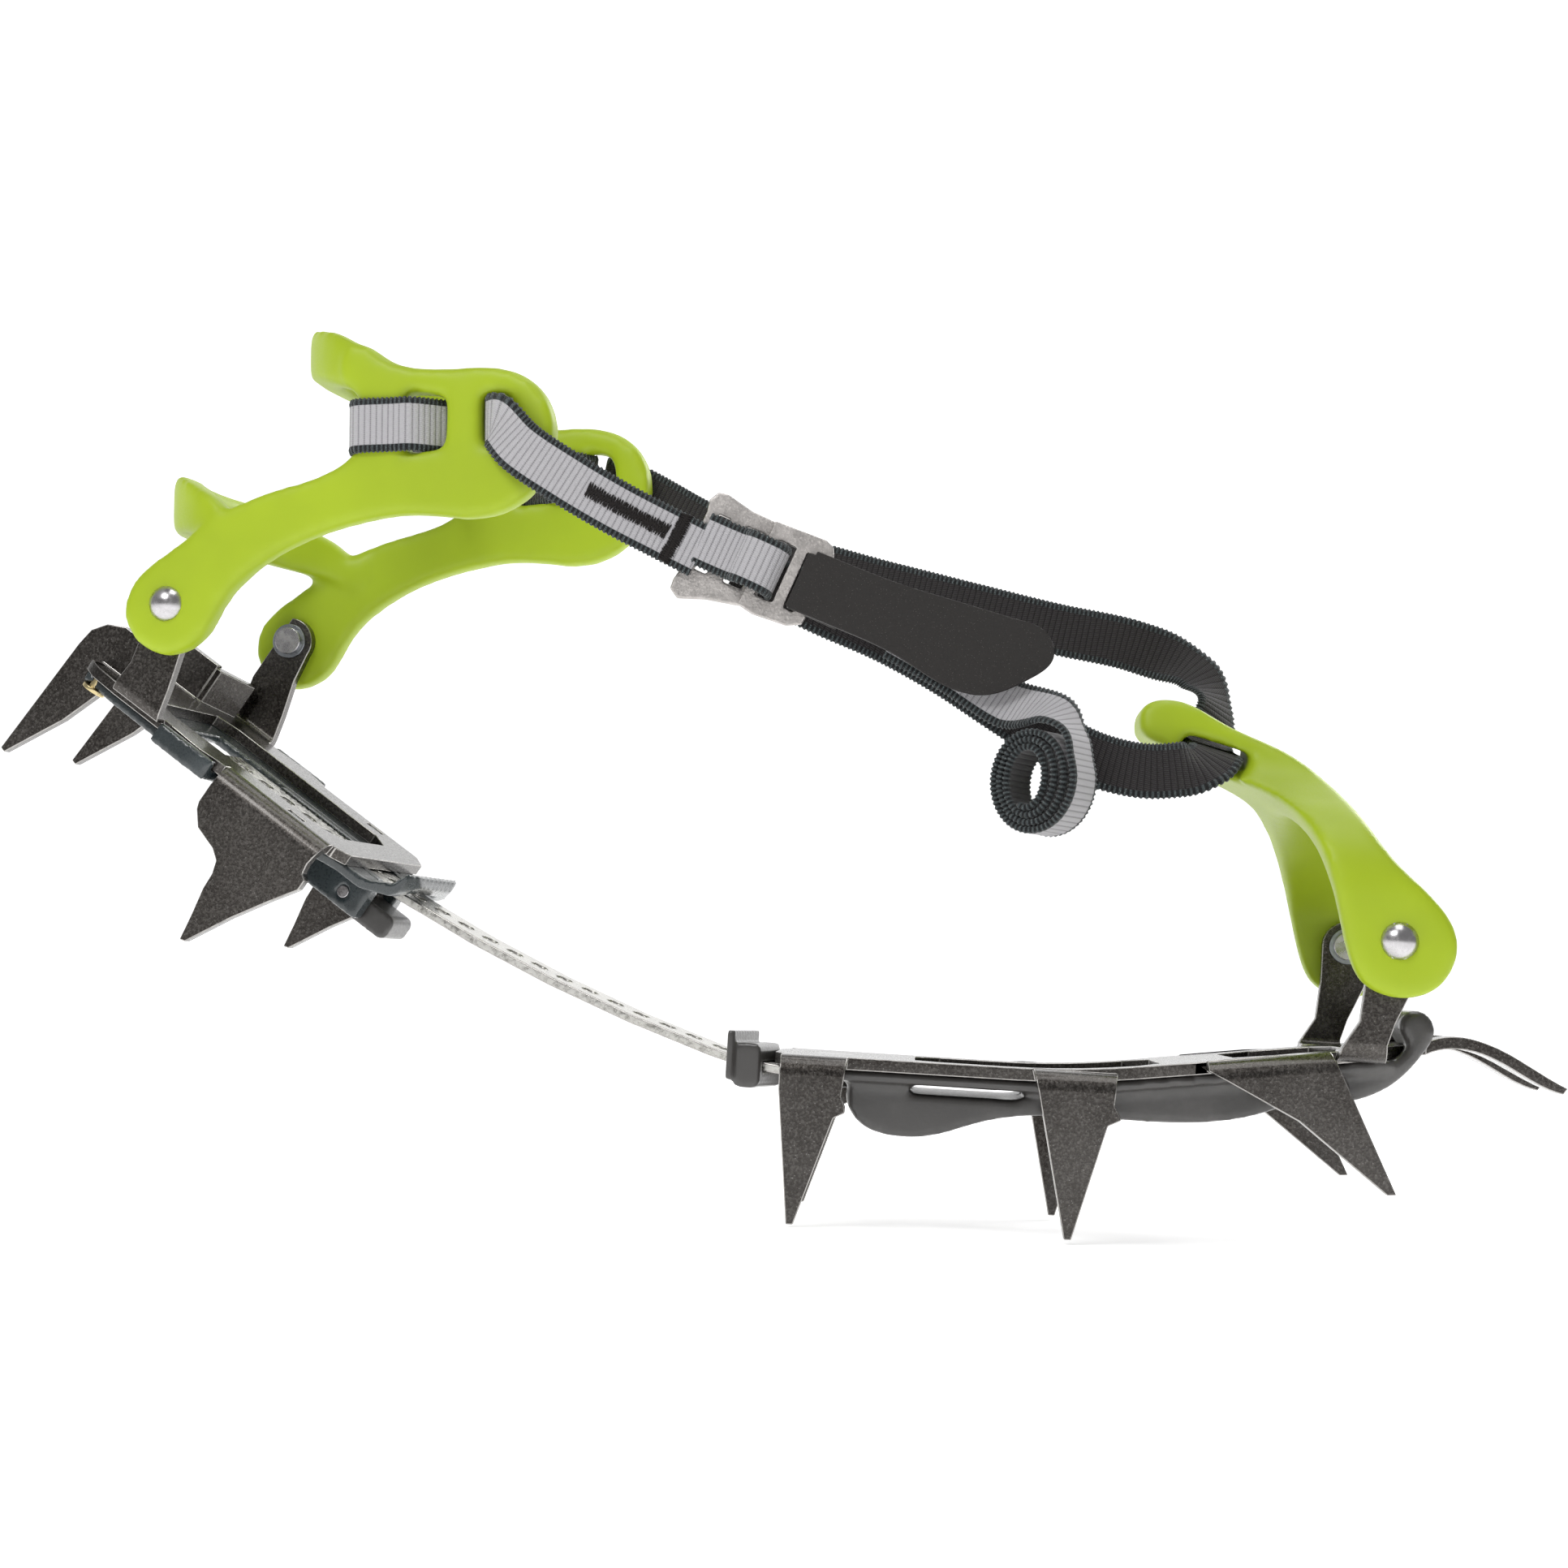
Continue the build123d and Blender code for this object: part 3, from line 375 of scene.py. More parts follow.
def broken_edges(node, name, width, materials, segments=2, angle=32):
    """A copy of a node with its sharp edges broken, the chamfers in the last material."""
    piece = new_piece(name, merged_copy(node))
    for material in materials:
        piece.data.materials.append(material)
    bevel = piece.modifiers.new("broken edges", "BEVEL")
    bevel.width = width
    bevel.segments = segments
    bevel.limit_method = "ANGLE"
    bevel.angle_limit = radians(angle)
    bevel.use_clamp_overlap = False
    bevel.material = len(materials) - 1
    bevel.miter_outer = "MITER_ARC"
    mesh = settle(piece)
    mesh.shade_smooth()
    mesh.set_sharp_from_angle(angle=radians(40))
    flat = piece.modifiers.new("flat faces", "WEIGHTED_NORMAL")
    flat.keep_sharp = True
    flat.weight = 80
    settle(piece)
    return stand_for(piece, node)


def moulded_copy(node, name, cell, rounds, material, swell=0.0, sculpt=None):
    """A copy of a node as one moulded skin with soft edges."""
    piece = new_piece(name, merged_copy(node))
    if swell:
        grow = piece.modifiers.new("swell", "DISPLACE")
        grow.strength = swell
        grow.mid_level = 0.0
    skin = piece.modifiers.new("skin", "REMESH")
    skin.mode = "VOXEL"
    skin.voxel_size = cell
    soft = piece.modifiers.new("soft", "SMOOTH")
    soft.factor = 0.5
    soft.iterations = rounds
    mesh = settle(piece)
    if sculpt:
        sculpt(mesh)
    mesh.shade_smooth()
    mesh.materials.append(material)
    return stand_for(piece, node)


# ---- geometry nodes ----
def node_group(name, sizes):
    """A geometry tree with a geometry input and output and named size inputs."""
    tree = bpy.data.node_groups.new(name, "GeometryNodeTree")
    tree.interface.new_socket("Geometry", in_out="INPUT", socket_type="NodeSocketGeometry")
    for label, kind, default in sizes:
        socket = tree.interface.new_socket(label, in_out="INPUT", socket_type=kind)
        if default is not None:
            socket.default_value = default
    tree.interface.new_socket("Geometry", in_out="OUTPUT", socket_type="NodeSocketGeometry")
    start = tree.nodes.new("NodeGroupInput")
    end = tree.nodes.new("NodeGroupOutput")
    return tree, start, end


def add_node(tree, kind, settings, links):
    made = tree.nodes.new(kind)
    for key, value in settings.items():
        setattr(made, key, value)
    for key, value in links.items():
        if isinstance(value, bpy.types.NodeSocket):
            tree.links.new(value, made.inputs[key])
        else:
            made.inputs[key].default_value = value
    return made


def finish_tree(tree, end, instances, material):
    real = add_node(tree, "GeometryNodeRealizeInstances", {}, {0: instances})
    done = add_node(tree, "GeometryNodeSetMaterial", {}, {"Geometry": real.outputs[0], "Material": material})
    tree.links.new(done.outputs[0], end.inputs[0])


def run_tree(piece, tree, values):
    """Runs a geometry tree on a piece and leaves a plain mesh."""
    modifier = piece.modifiers.new(tree.name, "NODES")
    modifier.node_group = tree
    for item in tree.interface.items_tree:
        if item.in_out == "INPUT" and item.name in values:
            modifier[item.identifier] = values[item.name]
    mesh = settle(piece)
    mesh.shade_smooth()
    return mesh


def stitch_tree(material):
    """Leaning stitches on points that carry a thread direction and a face direction."""
    tree, start, end = node_group("tack stitches", [
        ("Thread", "NodeSocketFloat", 0.0003), ("Stitch", "NodeSocketFloat", 0.003), ("Seed",
            "NodeSocketInt", 4)])
    thread = add_node(tree, "GeometryNodeMeshUVSphere", {}, {"Segments": 8, "Rings": 6, "Radius": 0.5})
    direction = add_node(tree, "GeometryNodeInputNamedAttribute", {"data_type": "FLOAT_VECTOR"},
        {"Name": "thread"})
    facing = add_node(tree, "GeometryNodeInputNamedAttribute", {"data_type": "FLOAT_VECTOR"},
        {"Name": "facing"})
    lie = add_node(tree, "FunctionNodeAlignRotationToVector", {"axis": "X"}, {"Vector": direction.outputs[0]})
    lie = add_node(tree, "FunctionNodeAlignRotationToVector", {"axis": "Z", "pivot_axis": "X"}, {
        "Rotation": lie.outputs[0], "Vector": facing.outputs[0]})
    jitter = add_node(tree, "FunctionNodeRandomValue", {"data_type": "FLOAT"}, {
        2: 0.88, 3: 1.14, "Seed": start.outputs["Seed"]})
    length = add_node(tree, "ShaderNodeMath", {"operation": "MULTIPLY"}, {
        0: start.outputs["Stitch"], 1: jitter.outputs[1]})
    size = add_node(tree, "ShaderNodeCombineXYZ", {}, {
        0: length.outputs[0], 1: start.outputs["Thread"], 2: start.outputs["Thread"]})
    laid = add_node(tree, "GeometryNodeInstanceOnPoints", {}, {
        "Points": start.outputs[0], "Instance": thread.outputs[0], "Rotation": lie.outputs[0],
        "Scale": size.outputs[0]})
    finish_tree(tree, end, laid.outputs[0], material)
    return tree


def rim_tree(material):
    """A raised sheared lip round each hole, on points that carry the hole's axis."""
    tree, start, end = node_group("hole rims", [
        ("Radius", "NodeSocketFloat", 0.0021), ("Lip", "NodeSocketFloat", 0.0002)])
    circle = add_node(tree, "GeometryNodeCurvePrimitiveCircle", {},
        {"Resolution": 28, "Radius": start.outputs["Radius"]})
    wire = add_node(tree, "GeometryNodeCurvePrimitiveCircle", {},
        {"Resolution": 8, "Radius": start.outputs["Lip"]})
    ring = add_node(tree, "GeometryNodeCurveToMesh", {},
        {"Curve": circle.outputs[0], "Profile Curve": wire.outputs[0]})
    facing = add_node(tree, "GeometryNodeInputNamedAttribute", {"data_type": "FLOAT_VECTOR"},
        {"Name": "facing"})
    turn = add_node(tree, "FunctionNodeAlignRotationToVector", {"axis": "Z"}, {"Vector": facing.outputs[0]})
    laid = add_node(tree, "GeometryNodeInstanceOnPoints", {}, {
        "Points": start.outputs[0], "Instance": ring.outputs[0], "Rotation": turn.outputs[0]})
    finish_tree(tree, end, laid.outputs[0], material)
    return tree


def coil_tree(material):
    """A torsion coil of round wire."""
    tree, start, end = node_group("lever coil", [
        ("Turns", "NodeSocketFloat", 6.0), ("Radius", "NodeSocketFloat", 0.002),
        ("Length", "NodeSocketFloat", 0.004), ("Wire", "NodeSocketFloat", 0.0004)])
    spiral = add_node(tree, "GeometryNodeCurveSpiral", {}, {
        "Resolution": 24, "Rotations": start.outputs["Turns"], "Start Radius": start.outputs["Radius"],
        "End Radius": start.outputs["Radius"], "Height": start.outputs["Length"]})
    wire = add_node(tree, "GeometryNodeCurvePrimitiveCircle", {},
        {"Resolution": 8, "Radius": start.outputs["Wire"]})
    coil = add_node(tree, "GeometryNodeCurveToMesh", {}, {
        "Curve": spiral.outputs[0], "Profile Curve": wire.outputs[0], "Fill Caps": True})
    finish_tree(tree, end, coil.outputs[0], material)
    return tree


def marked_points(name, rows):
    """A mesh of loose points that carry direction attributes: rows of (point, {attribute: vector})."""
    mesh = bpy.data.meshes.new(name)
    mesh.from_pydata([point for point, _ in rows], [], [])
    for key in rows[0][1]:
        layer = mesh.attributes.new(key, "FLOAT_VECTOR", "POINT")
        for item, (_, marks) in zip(layer.data, rows):
            item.vector = marks[key]
    return new_piece(name, mesh)


# ---- webbing ----
def harness_frame():
    """Place and turn of the heel harness: its pivots, and its axes."""
    turn = Matrix.Rotation(radians(-11.7), 4, "Z") @ Matrix.Rotation(radians(-3.5), 4, "Y")
    return Matrix.Translation((-161.2, 31.995, 95.6)) @ turn


def along_route(stations, step):
    """Evenly spaced (point, width direction, travel) along a smooth line through stations, in metres."""
    points = [Vector(point) for point, _ in stations]
    widths = [Vector(width).normalized() for _, width in stations]
    points = [points[0] * 2 - points[1], *points, points[-1] * 2 - points[-2]]
    fine = []
    parts = 40
    for i in range(1, len(points) - 2):
        p0, p1, p2, p3 = points[i - 1:i + 3]
        gaps = [max((b - a).length, 1e-6) ** 0.5 for a, b in ((p0, p1), (p1, p2), (p2, p3))]
        out_slope = (p1 - p0) / gaps[0] - (p2 - p0) / (gaps[0] + gaps[1]) + (p2 - p1) / gaps[1]
        in_slope = (p2 - p1) / gaps[1] - (p3 - p1) / (gaps[1] + gaps[2]) + (p3 - p2) / gaps[2]
        out_slope, in_slope = out_slope * gaps[1], in_slope * gaps[1]
        for k in range(parts + (i == len(points) - 3)):
            t = k / parts
            point = (2 * t ** 3 - 3 * t * t + 1) * p1 + (t ** 3 - 2 * t * t + t) * out_slope
            point += (3 * t * t - 2 * t ** 3) * p2 + (t ** 3 - t * t) * in_slope
            ease = t * t * (3 - 2 * t)
            fine.append((point, widths[i - 1].lerp(widths[min(i, len(widths) - 1)], ease)))
    lengths = [0.0]
    for (a, _), (b, _) in zip(fine, fine[1:]):
        lengths.append(lengths[-1] + (b - a).length)
    count = max(2, round(lengths[-1] / step))
    rows, at = [], 0
    for i in range(count + 1):
        want = lengths[-1] * i / count
        while at < len(lengths) - 2 and lengths[at + 1] < want:
            at += 1
        share = (want - lengths[at]) / max(lengths[at + 1] - lengths[at], 1e-9)
        point = fine[at][0].lerp(fine[at + 1][0], share)
        width = fine[at][1].lerp(fine[at + 1][1], share)
        rows.append((point * MM, width, want * MM))
    made = []
    for i, (point, width, distance) in enumerate(rows):
        travel = (rows[min(i + 1, count)][0] - rows[max(i - 1, 0)][0]).normalized()
        width = (width - travel * width.dot(travel)).normalized()
        made.append((point, width, travel, distance))
    return made


COLUMNS = 13


def band(name, stations, settings, material, light=1, begin=0.0, step=0.36):
    """A woven strap along a route. Light = 1 puts its pale face on the side of travel x width."""
    rows = along_route(stations, step)
    half, thick = settings.strap_width / 2, settings.strap_thickness
    verts, faces, marks = [], [], []
    for point, width, travel, distance in rows:
        out = travel.cross(width) * light
        distance += begin
        rib = abs(sin(pi * distance / settings.rib_pitch)) ** 0.7
        knob = sin(2 * pi * distance / settings.knob_pitch)
        for face_side in (1, -1):
            for j in range(COLUMNS):
                share = 2 * j / (COLUMNS - 1) - 1
                share = -share if face_side < 0 else share
                edge = abs(share)
                share = math.copysign(edge ** 0.82, share)
                height = thick / 2 * (1 - 0.55 * edge ** 14)
                if edge < 0.76:
                    height += (rib - 0.5) * 0.00016 - 0.00006
                else:
                    height += 0.00018 * knob + 0.00008
                reach = half + (0.00022 * knob if edge > 0.95 else 0)
                verts.append(point + width * (share * reach) + out * (height * face_side))
                marks.append((distance, share, 1.0 if face_side > 0 else 0.0))
    ring = 2 * COLUMNS
    for i in range(len(rows) - 1):
        for j in range(ring):
            a, b = i * ring + j, i * ring + (j + 1) % ring
            faces.append((a, b, b + ring, a + ring))
    faces.append(tuple(reversed(range(ring))))
    faces.append(tuple(range((len(rows) - 1) * ring, len(rows) * ring)))
    mesh = bpy.data.meshes.new(name)
    mesh.from_pydata(verts, [], faces)
    for index, key in enumerate(("along", "across", "side")):
        layer = mesh.attributes.new(key, "FLOAT", "POINT")
        layer.data.foreach_set("value", [mark[index] for mark in marks])
    work = bmesh.new()
    work.from_mesh(mesh)
    bmesh.ops.recalc_face_normals(work, faces=work.faces)
    work.to_mesh(mesh)
    work.free()
    mesh.shade_smooth()
    mesh.materials.append(material)
    return new_piece(name, mesh)


UP = (0, 0, 1)
STRAND_Y = -26.5
BUCKLE = Matrix.Translation((-32.0, STRAND_Y, 111.1)) @ Matrix.Rotation(radians(21), 4, "Y")
ARM_IN, ARM_OUT = 36.3, 42.3
LOOP_BAR_X, LOOP_BAR_Z = 81.0, 40.0


def wrap_stations():
    """From the far loop's front bar, round behind the ankle and through the near loop, in the harness frame."""
    out, inside = ARM_OUT + 0.9, ARM_IN - 1.0
    near = [
        (48, -out), (56, -out), (60.5, -out), (66.5, -ARM_IN - 1.6), (70, -inside), (76, -inside), (79.6,
            -ARM_OUT + 0.6),
    ]
    far = [(x, -y) for x, y in reversed(near)]
    back = [(46.4, out - 1.0), (45.4, out - 3.2), (45.2, 24), (45.2, 0), (45.2, -24), (45.4, -out + 3.2),
        (46.4, -out + 1.0)]
    place = harness_frame()
    width = place.to_3x3() @ Vector(UP)
    return [(place @ Vector((x, y, LOOP_BAR_Z)), width) for x, y in far + back + near]


def sewn_stations():
    place = harness_frame()
    outside = ARM_OUT + 1.3
    route = [
        place @ Vector((LOOP_BAR_X + 1.0, -outside, LOOP_BAR_Z - 0.4)),
        (-86.5, -29.6, 134.2), (-75, -30.6, 127.2), (-63, -30.2, 121.0), (-52, -28.5, 116.2), (-43.6, -27.5,
            112.6),
    ]
    return [(point, UP) for point in route]


def hump_stations():
    low, high, rise = -3.2, 6.6, -5.4
    route = [(-12.5, -1.2), (-7.0, -1.4), (low, -2.4), (low + 1.8, rise + 0.6), (0.6, rise),
        (4.4, rise + 0.5), (high - 0.6, -3.4),
             (high + 0.1, -1.0), (high + 0.1, 1.4)]
    turn = BUCKLE.to_3x3() @ Vector(UP)
    return [(BUCKLE @ Vector((x, y, 0)), turn) for x, y in route]


def tunnel_station(y, way=-1):
    roll, pitch = radians(10), radians(14)
    return ((77, y, 76.2 + y * tan(roll)), (way * cos(pitch), 0, -way * sin(pitch)))


def near_stations():
    start = BUCKLE @ Vector((-3.0, 6.3, -1.5))
    feed_y = STRAND_Y + 6.3
    level = [start, (-16, feed_y, 102.4), (0, feed_y, 96.4), (14, feed_y, 89.6), (28, feed_y, 81.4),
        (40, feed_y, 74.6),
             (50, feed_y, 70.6), (60, feed_y + 0.8, 69.0)]
    return [(point, UP) for point in level] + [
        ((68.5, -18.6, 69.8), (-0.12, 0.1, 1)), ((74.6, -15.4, 71.6),
            (-0.7, 0.35, 0.62)), tunnel_station(-12),
        tunnel_station(0)]


def far_stations():
    place = harness_frame()
    outside = ARM_OUT + 1.3
    end = [place @ Vector((LOOP_BAR_X + 7.0, outside + 2.1, LOOP_BAR_Z - 1.6)),
           place @ Vector((LOOP_BAR_X + 3.6, outside + 0.4, LOOP_BAR_Z - 0.8)),
           place @ Vector((LOOP_BAR_X - 0.2, outside, LOOP_BAR_Z))]
    return [
        tunnel_station(0, 1), tunnel_station(12, 1), ((78.2, 16.6, 81.2), (0.85, 0.3, -0.35)),
        ((79.4, 21.0, 88.6), (0.6, 0.6, -0.2)), ((74.6, 25.0, 96.6), (0.5, 0.5, 0.6)),
        ((60, 28.6, 102.6), (0, -0.1, 1)), ((40, 33.0, 106.4), UP), ((16, 38.0, 111.6),
            UP), ((-12, 44.0, 118.0), UP),
        ((-42, 50.6, 126.4), UP)] + [(point, UP) for point in end]


ROLL_PLACE = Matrix.Translation((36.6, STRAND_Y - 9.0, 64.2)) @ Matrix.Rotation(radians(-28), 4, "Z")


def tail_stations():
    """Out from under the tab, over on its side, round the roll and on inwards for three turns."""
    axis = -(ROLL_PLACE.to_3x3() @ Vector((0, -1, 0)))

    def on_roll(x, z, width):
        return (ROLL_PLACE @ Vector((x, 0, z)), width)

    rows = [
        ((2, STRAND_Y - 0.4, 96.4), (0.25, 0, 1)), ((16, STRAND_Y - 0.4, 89.2), (0.3, 0.1, 0.95)),
        ((28, STRAND_Y - 0.2, 82.0), (0.38, 0.35, 0.85)),
        on_roll(3.0, 15.2, (0.3, 0.8, 0.5)), on_roll(7.8, 10.2, axis),
    ]
    turns = 3.4
    count = 50
    for i in range(count + 1):
        turned = i / count * turns
        angle = radians(28) - 2 * pi * turned
        x = (10.3 - 1.95 * turned) * cos(angle) - 0.4 * turned
        z = (11.9 - 1.65 * turned) * sin(angle)
        rows.append(on_roll(x, z, axis))
    return rows


# ---- settings ----
class CramponMetal(bpy.types.PropertyGroup):
    """Steel, zinc and alloy finishes."""

    coat_colour: FloatVectorProperty(
        name="Coat", description="Dark coat of the frames", subtype="COLOR", default=(0.040, 0.035, 0.031))
    worn_colour: FloatVectorProperty(
        name="Thin coat", description="Paler grain in the coat", subtype="COLOR", default=(0.125, 0.116,
            0.108))
    edge_colour: FloatVectorProperty(
        name="Edge", description="Bare steel at worn edges", subtype="COLOR", default=(0.42, 0.405, 0.39))
    zinc_colour: FloatVectorProperty(
        name="Zinc", description="Plated link bar", subtype="COLOR", default=(0.66, 0.65, 0.62))
    alloy_colour: FloatVectorProperty(
        name="Buckle alloy", description="Tumbled buckle plates", subtype="COLOR", default=(0.60, 0.57, 0.55))
    edge_width: FloatProperty(
        name="Edge width", description="Width of the broken edges", subtype="DISTANCE", unit="LENGTH",
        default=0.00024)
    rim_lip: FloatProperty(
        name="Hole lip", description="Thickness of the lip round each bar hole", subtype="DISTANCE",
        unit="LENGTH",
        default=0.00010)


class CramponMoulding(bpy.types.PropertyGroup):
    """Elastomer and plastic finishes."""

    green_colour: FloatVectorProperty(
        name="Elastomer", description="Harness and bail", subtype="COLOR", default=(0.37, 0.495, 0.012))
    toe_grey: FloatVectorProperty(
        name="Toe plastic", description="Toe plate's moulding", subtype="COLOR", default=(0.044, 0.041,
            0.039))
    heel_grey: FloatVectorProperty(
        name="Heel plastic", description="Heel plate's moulding", subtype="COLOR", default=(0.018, 0.026,
            0.029))
    tab_colour: FloatVectorProperty(
        name="Pull tab", description="Black sheet", subtype="COLOR", default=(0.015, 0.013, 0.012))
    skin_cell: FloatProperty(
        name="Skin cell", description="Mesh cell of the elastomer's skin", subtype="DISTANCE", unit="LENGTH",
        default=0.0009)
    softening: IntProperty(name="Softening", description="Rounds of softening of the elastomer's edges",
        default=30, min=1)
    swell: FloatProperty(
        name="Swell", description="Growth that makes up for what the softening takes off", subtype="DISTANCE",
        unit="LENGTH", default=0.0005)


class CramponWebbing(bpy.types.PropertyGroup):
    """Woven strap."""

    strap_width: FloatProperty(
        name="Width", description="Strap width", subtype="DISTANCE", unit="LENGTH", default=0.0125)
    strap_thickness: FloatProperty(
        name="Thickness", description="Strap thickness", subtype="DISTANCE", unit="LENGTH", default=0.0014)
    rib_pitch: FloatProperty(
        name="Rib pitch", description="Distance between cross ribs", subtype="DISTANCE", unit="LENGTH",
        default=0.00142)
    knob_pitch: FloatProperty(
        name="Selvedge pitch", description="Distance between selvedge knobs", subtype="DISTANCE",
        unit="LENGTH",
        default=0.0011)
    light_colour: FloatVectorProperty(
        name="Light face", description="Pale woven face", subtype="COLOR", default=(0.47, 0.46, 0.48))
    dark_colour: FloatVectorProperty(
        name="Dark face", description="Back of the strap", subtype="COLOR", default=(0.019, 0.015, 0.016))
    selvedge_colour: FloatVectorProperty(
        name="Selvedge", description="Edge yarn", subtype="COLOR", default=(0.045, 0.055, 0.058))
    thread: FloatProperty(
        name="Thread", description="Thickness of the tack thread", subtype="DISTANCE", unit="LENGTH",
        default=0.00058)


class CramponStage(bpy.types.PropertyGroup):
    """Floor, light and camera."""

    floor_colour: FloatVectorProperty(
        name="Floor", description="Plain pale floor", subtype="COLOR", default=(0.93, 0.93, 0.93))
    sky: FloatProperty(name="Room light", description="Strength of the even light", default=0.3, min=0)
    glow: FloatProperty(name="Floor glow", description="Light the pale floor gives off", default=0.62, min=0)
    key: FloatProperty(name="Key light", description="Power of the main light", unit="POWER", default=5.6,
        min=0)
    lens: FloatProperty(name="Lens", description="Focal length", subtype="DISTANCE_CAMERA", default=74.53,
        min=10)


# ---- operators ----
class CRAMPON_OT_steel_frames(bpy.types.Operator):
    """Toe and heel frames with a grained coat and broken edges"""

    bl_idname = "crampon.steel_frames"
    bl_label = "Finish steel frames"

    def execute(self, context):
        settings = context.scene.crampon_metal
        edge = bright_edge(settings)
        coat = coated_steel("steel_coat", settings)
        for node in ("toe_frame", "heel_frame"):
            broken_edges(node, node + "_coated", settings.edge_width, [coat, edge])
        return {"FINISHED"}


class CRAMPON_OT_plates(bpy.types.Operator):
    """Moulded plates under the frames, the bar's block and the lock's guide and lever"""

    bl_idname = "crampon.plates"
    bl_label = "Finish moulded plates"

    def execute(self, context):
        settings = context.scene.crampon_moulding
        toe = moulded_grey("toe_plastic", settings.toe_grey)
        heel = moulded_grey("heel_plastic", settings.heel_grey, 0.28)
        moulded_copy("toe_antiball_plate", "toe_plate_moulded", 0.0008, 5, toe)
        moulded_copy("heel_antiball_plate", "heel_plate_moulded", 0.0006, 4, heel)
        moulded_copy("bar_rear_block", "bar_block_moulded", 0.0005, 5, toe)
        moulded_copy("bar_guide", "bar_guide_moulded", 0.0005, 4, heel)
        moulded_copy("lock_lever", "lock_lever_moulded", 0.0004, 4, toe)
        return {"FINISHED"}


def hole_points(node, low, high):
    """Centre and axis of each round edge loop of a node whose radius is between low and high."""
    work = bmesh.new()
    work.from_mesh(frame["nodes"][node].data)
    bmesh.ops.remove_doubles(work, verts=work.verts, dist=2e-6)
    sharp = [e for e in work.edges if len(e.link_faces) == 2 and e.calc_face_angle() > radians(50)]
    seen, rows = set(), []
    joined = {}
    for edge in sharp:
        for vert in edge.verts:
            joined.setdefault(vert, []).append(edge)
    for vert in sorted(joined, key=lambda v: v.index):
        if vert in seen:
            continue
        loop, queue = [], [vert]
        while queue:
            here = queue.pop()
            if here in seen:
                continue
            seen.add(here)
            loop.append(here)
            queue += [edge.other_vert(here) for edge in joined[here]]
        centre = sum((v.co for v in loop), Vector()) / len(loop)
        radii = [(v.co - centre).length for v in loop]
        if len(loop) > 8 and low < min(radii) and max(radii) < high:
            axis = (loop[0].co - centre).cross(loop[len(loop) // 4].co - centre).normalized()
            rows.append((centre, {"facing": axis}))
    work.free()
    return rows


class CRAMPON_OT_link_bar(bpy.types.Operator):
    """Plated link bar with sheared holes, and the lock's coil"""

    bl_idname = "crampon.link_bar"
    bl_label = "Finish link bar"

    def execute(self, context):
        settings = context.scene.crampon_metal
        zinc = zinc_strip(settings)
        broken_edges("link_bar", "link_bar_plated", 0.00035, [zinc, bright_edge(settings)])
        rims = marked_points("bar_hole_rims", hole_points("link_bar", 0.0016, 0.0027))
        run_tree(rims, rim_tree(zinc), {"Radius": 0.0022, "Lip": settings.rim_lip})
        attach(rims, BODY_OF["link_bar"])
        low, high = (Vector(corner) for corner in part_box("lock_spring"))
        coil = new_piece("lock_coil", bpy.data.meshes.new("lock_coil"))
        span = (high - low)
        run_tree(coil, coil_tree(polished_steel("coil_steel", (0.5, 0.49, 0.47))), {
            "Turns": 5.0, "Radius": span.z * 0.42, "Length": span.y * 0.8, "Wire": span.z * 0.07})
        axis = frame_axis("lock_lever_hinge")
        turn = Vector((0, 0, 1)).rotation_difference(axis).to_matrix().to_4x4()
        coil.data.transform(Matrix.Translation((low + high) / 2 - axis * span.y * 0.4) @ turn)
        stand_for(coil, "lock_spring")
        return {"FINISHED"}


def frame_axis(joint):
    found = [j for j in frame["record"]["behaviour"]["joints"] if j["name"] == joint]
    return Vector(found[0]["axis"]).normalized()


class CRAMPON_OT_rivets(bpy.types.Operator):
    """Domed rivets, washers and the lever's pin"""

    bl_idname = "crampon.rivets"
    bl_label = "Finish rivets"

    def execute(self, context):
        dome = polished_steel("rivet_steel", (0.60, 0.585, 0.60), 0.2)
        zinc = polished_steel("washer_zinc", (0.40, 0.42, 0.46), 0.26)
        brass = polished_steel("rivet_brass", (0.72, 0.60, 0.33), 0.22)
        for node in ("toe_pivot_rivets", "heel_pivot_rivets", "lock_lever_pin", "bar_rivet"):
            broken_edges(node, node + "_polished", 0.00018, [dome], 2, 40)
        for node in ("toe_pivot_washers", "heel_pivot_washers"):
            broken_edges(node, node + "_zinc", 0.00015, [zinc], 2, 40)
        broken_edges("heel_plate_rivets", "heel_plate_rivets_brass", 0.00015, [brass], 2, 40)
        return {"FINISHED"}


class CRAMPON_OT_mouldings(bpy.types.Operator):
    """Heel harness and toe bail in soft elastomer"""

    bl_idname = "crampon.mouldings"
    bl_label = "Finish harness and bail"

    def execute(self, context):
        settings = context.scene.crampon_moulding
        green = moulded_green(settings)
        for node, name in (("heel_harness", "heel_harness_soft"), ("toe_bail", "toe_bail_soft")):
            moulded_copy(node, name, settings.skin_cell, settings.softening, green, settings.swell)
        return {"FINISHED"}


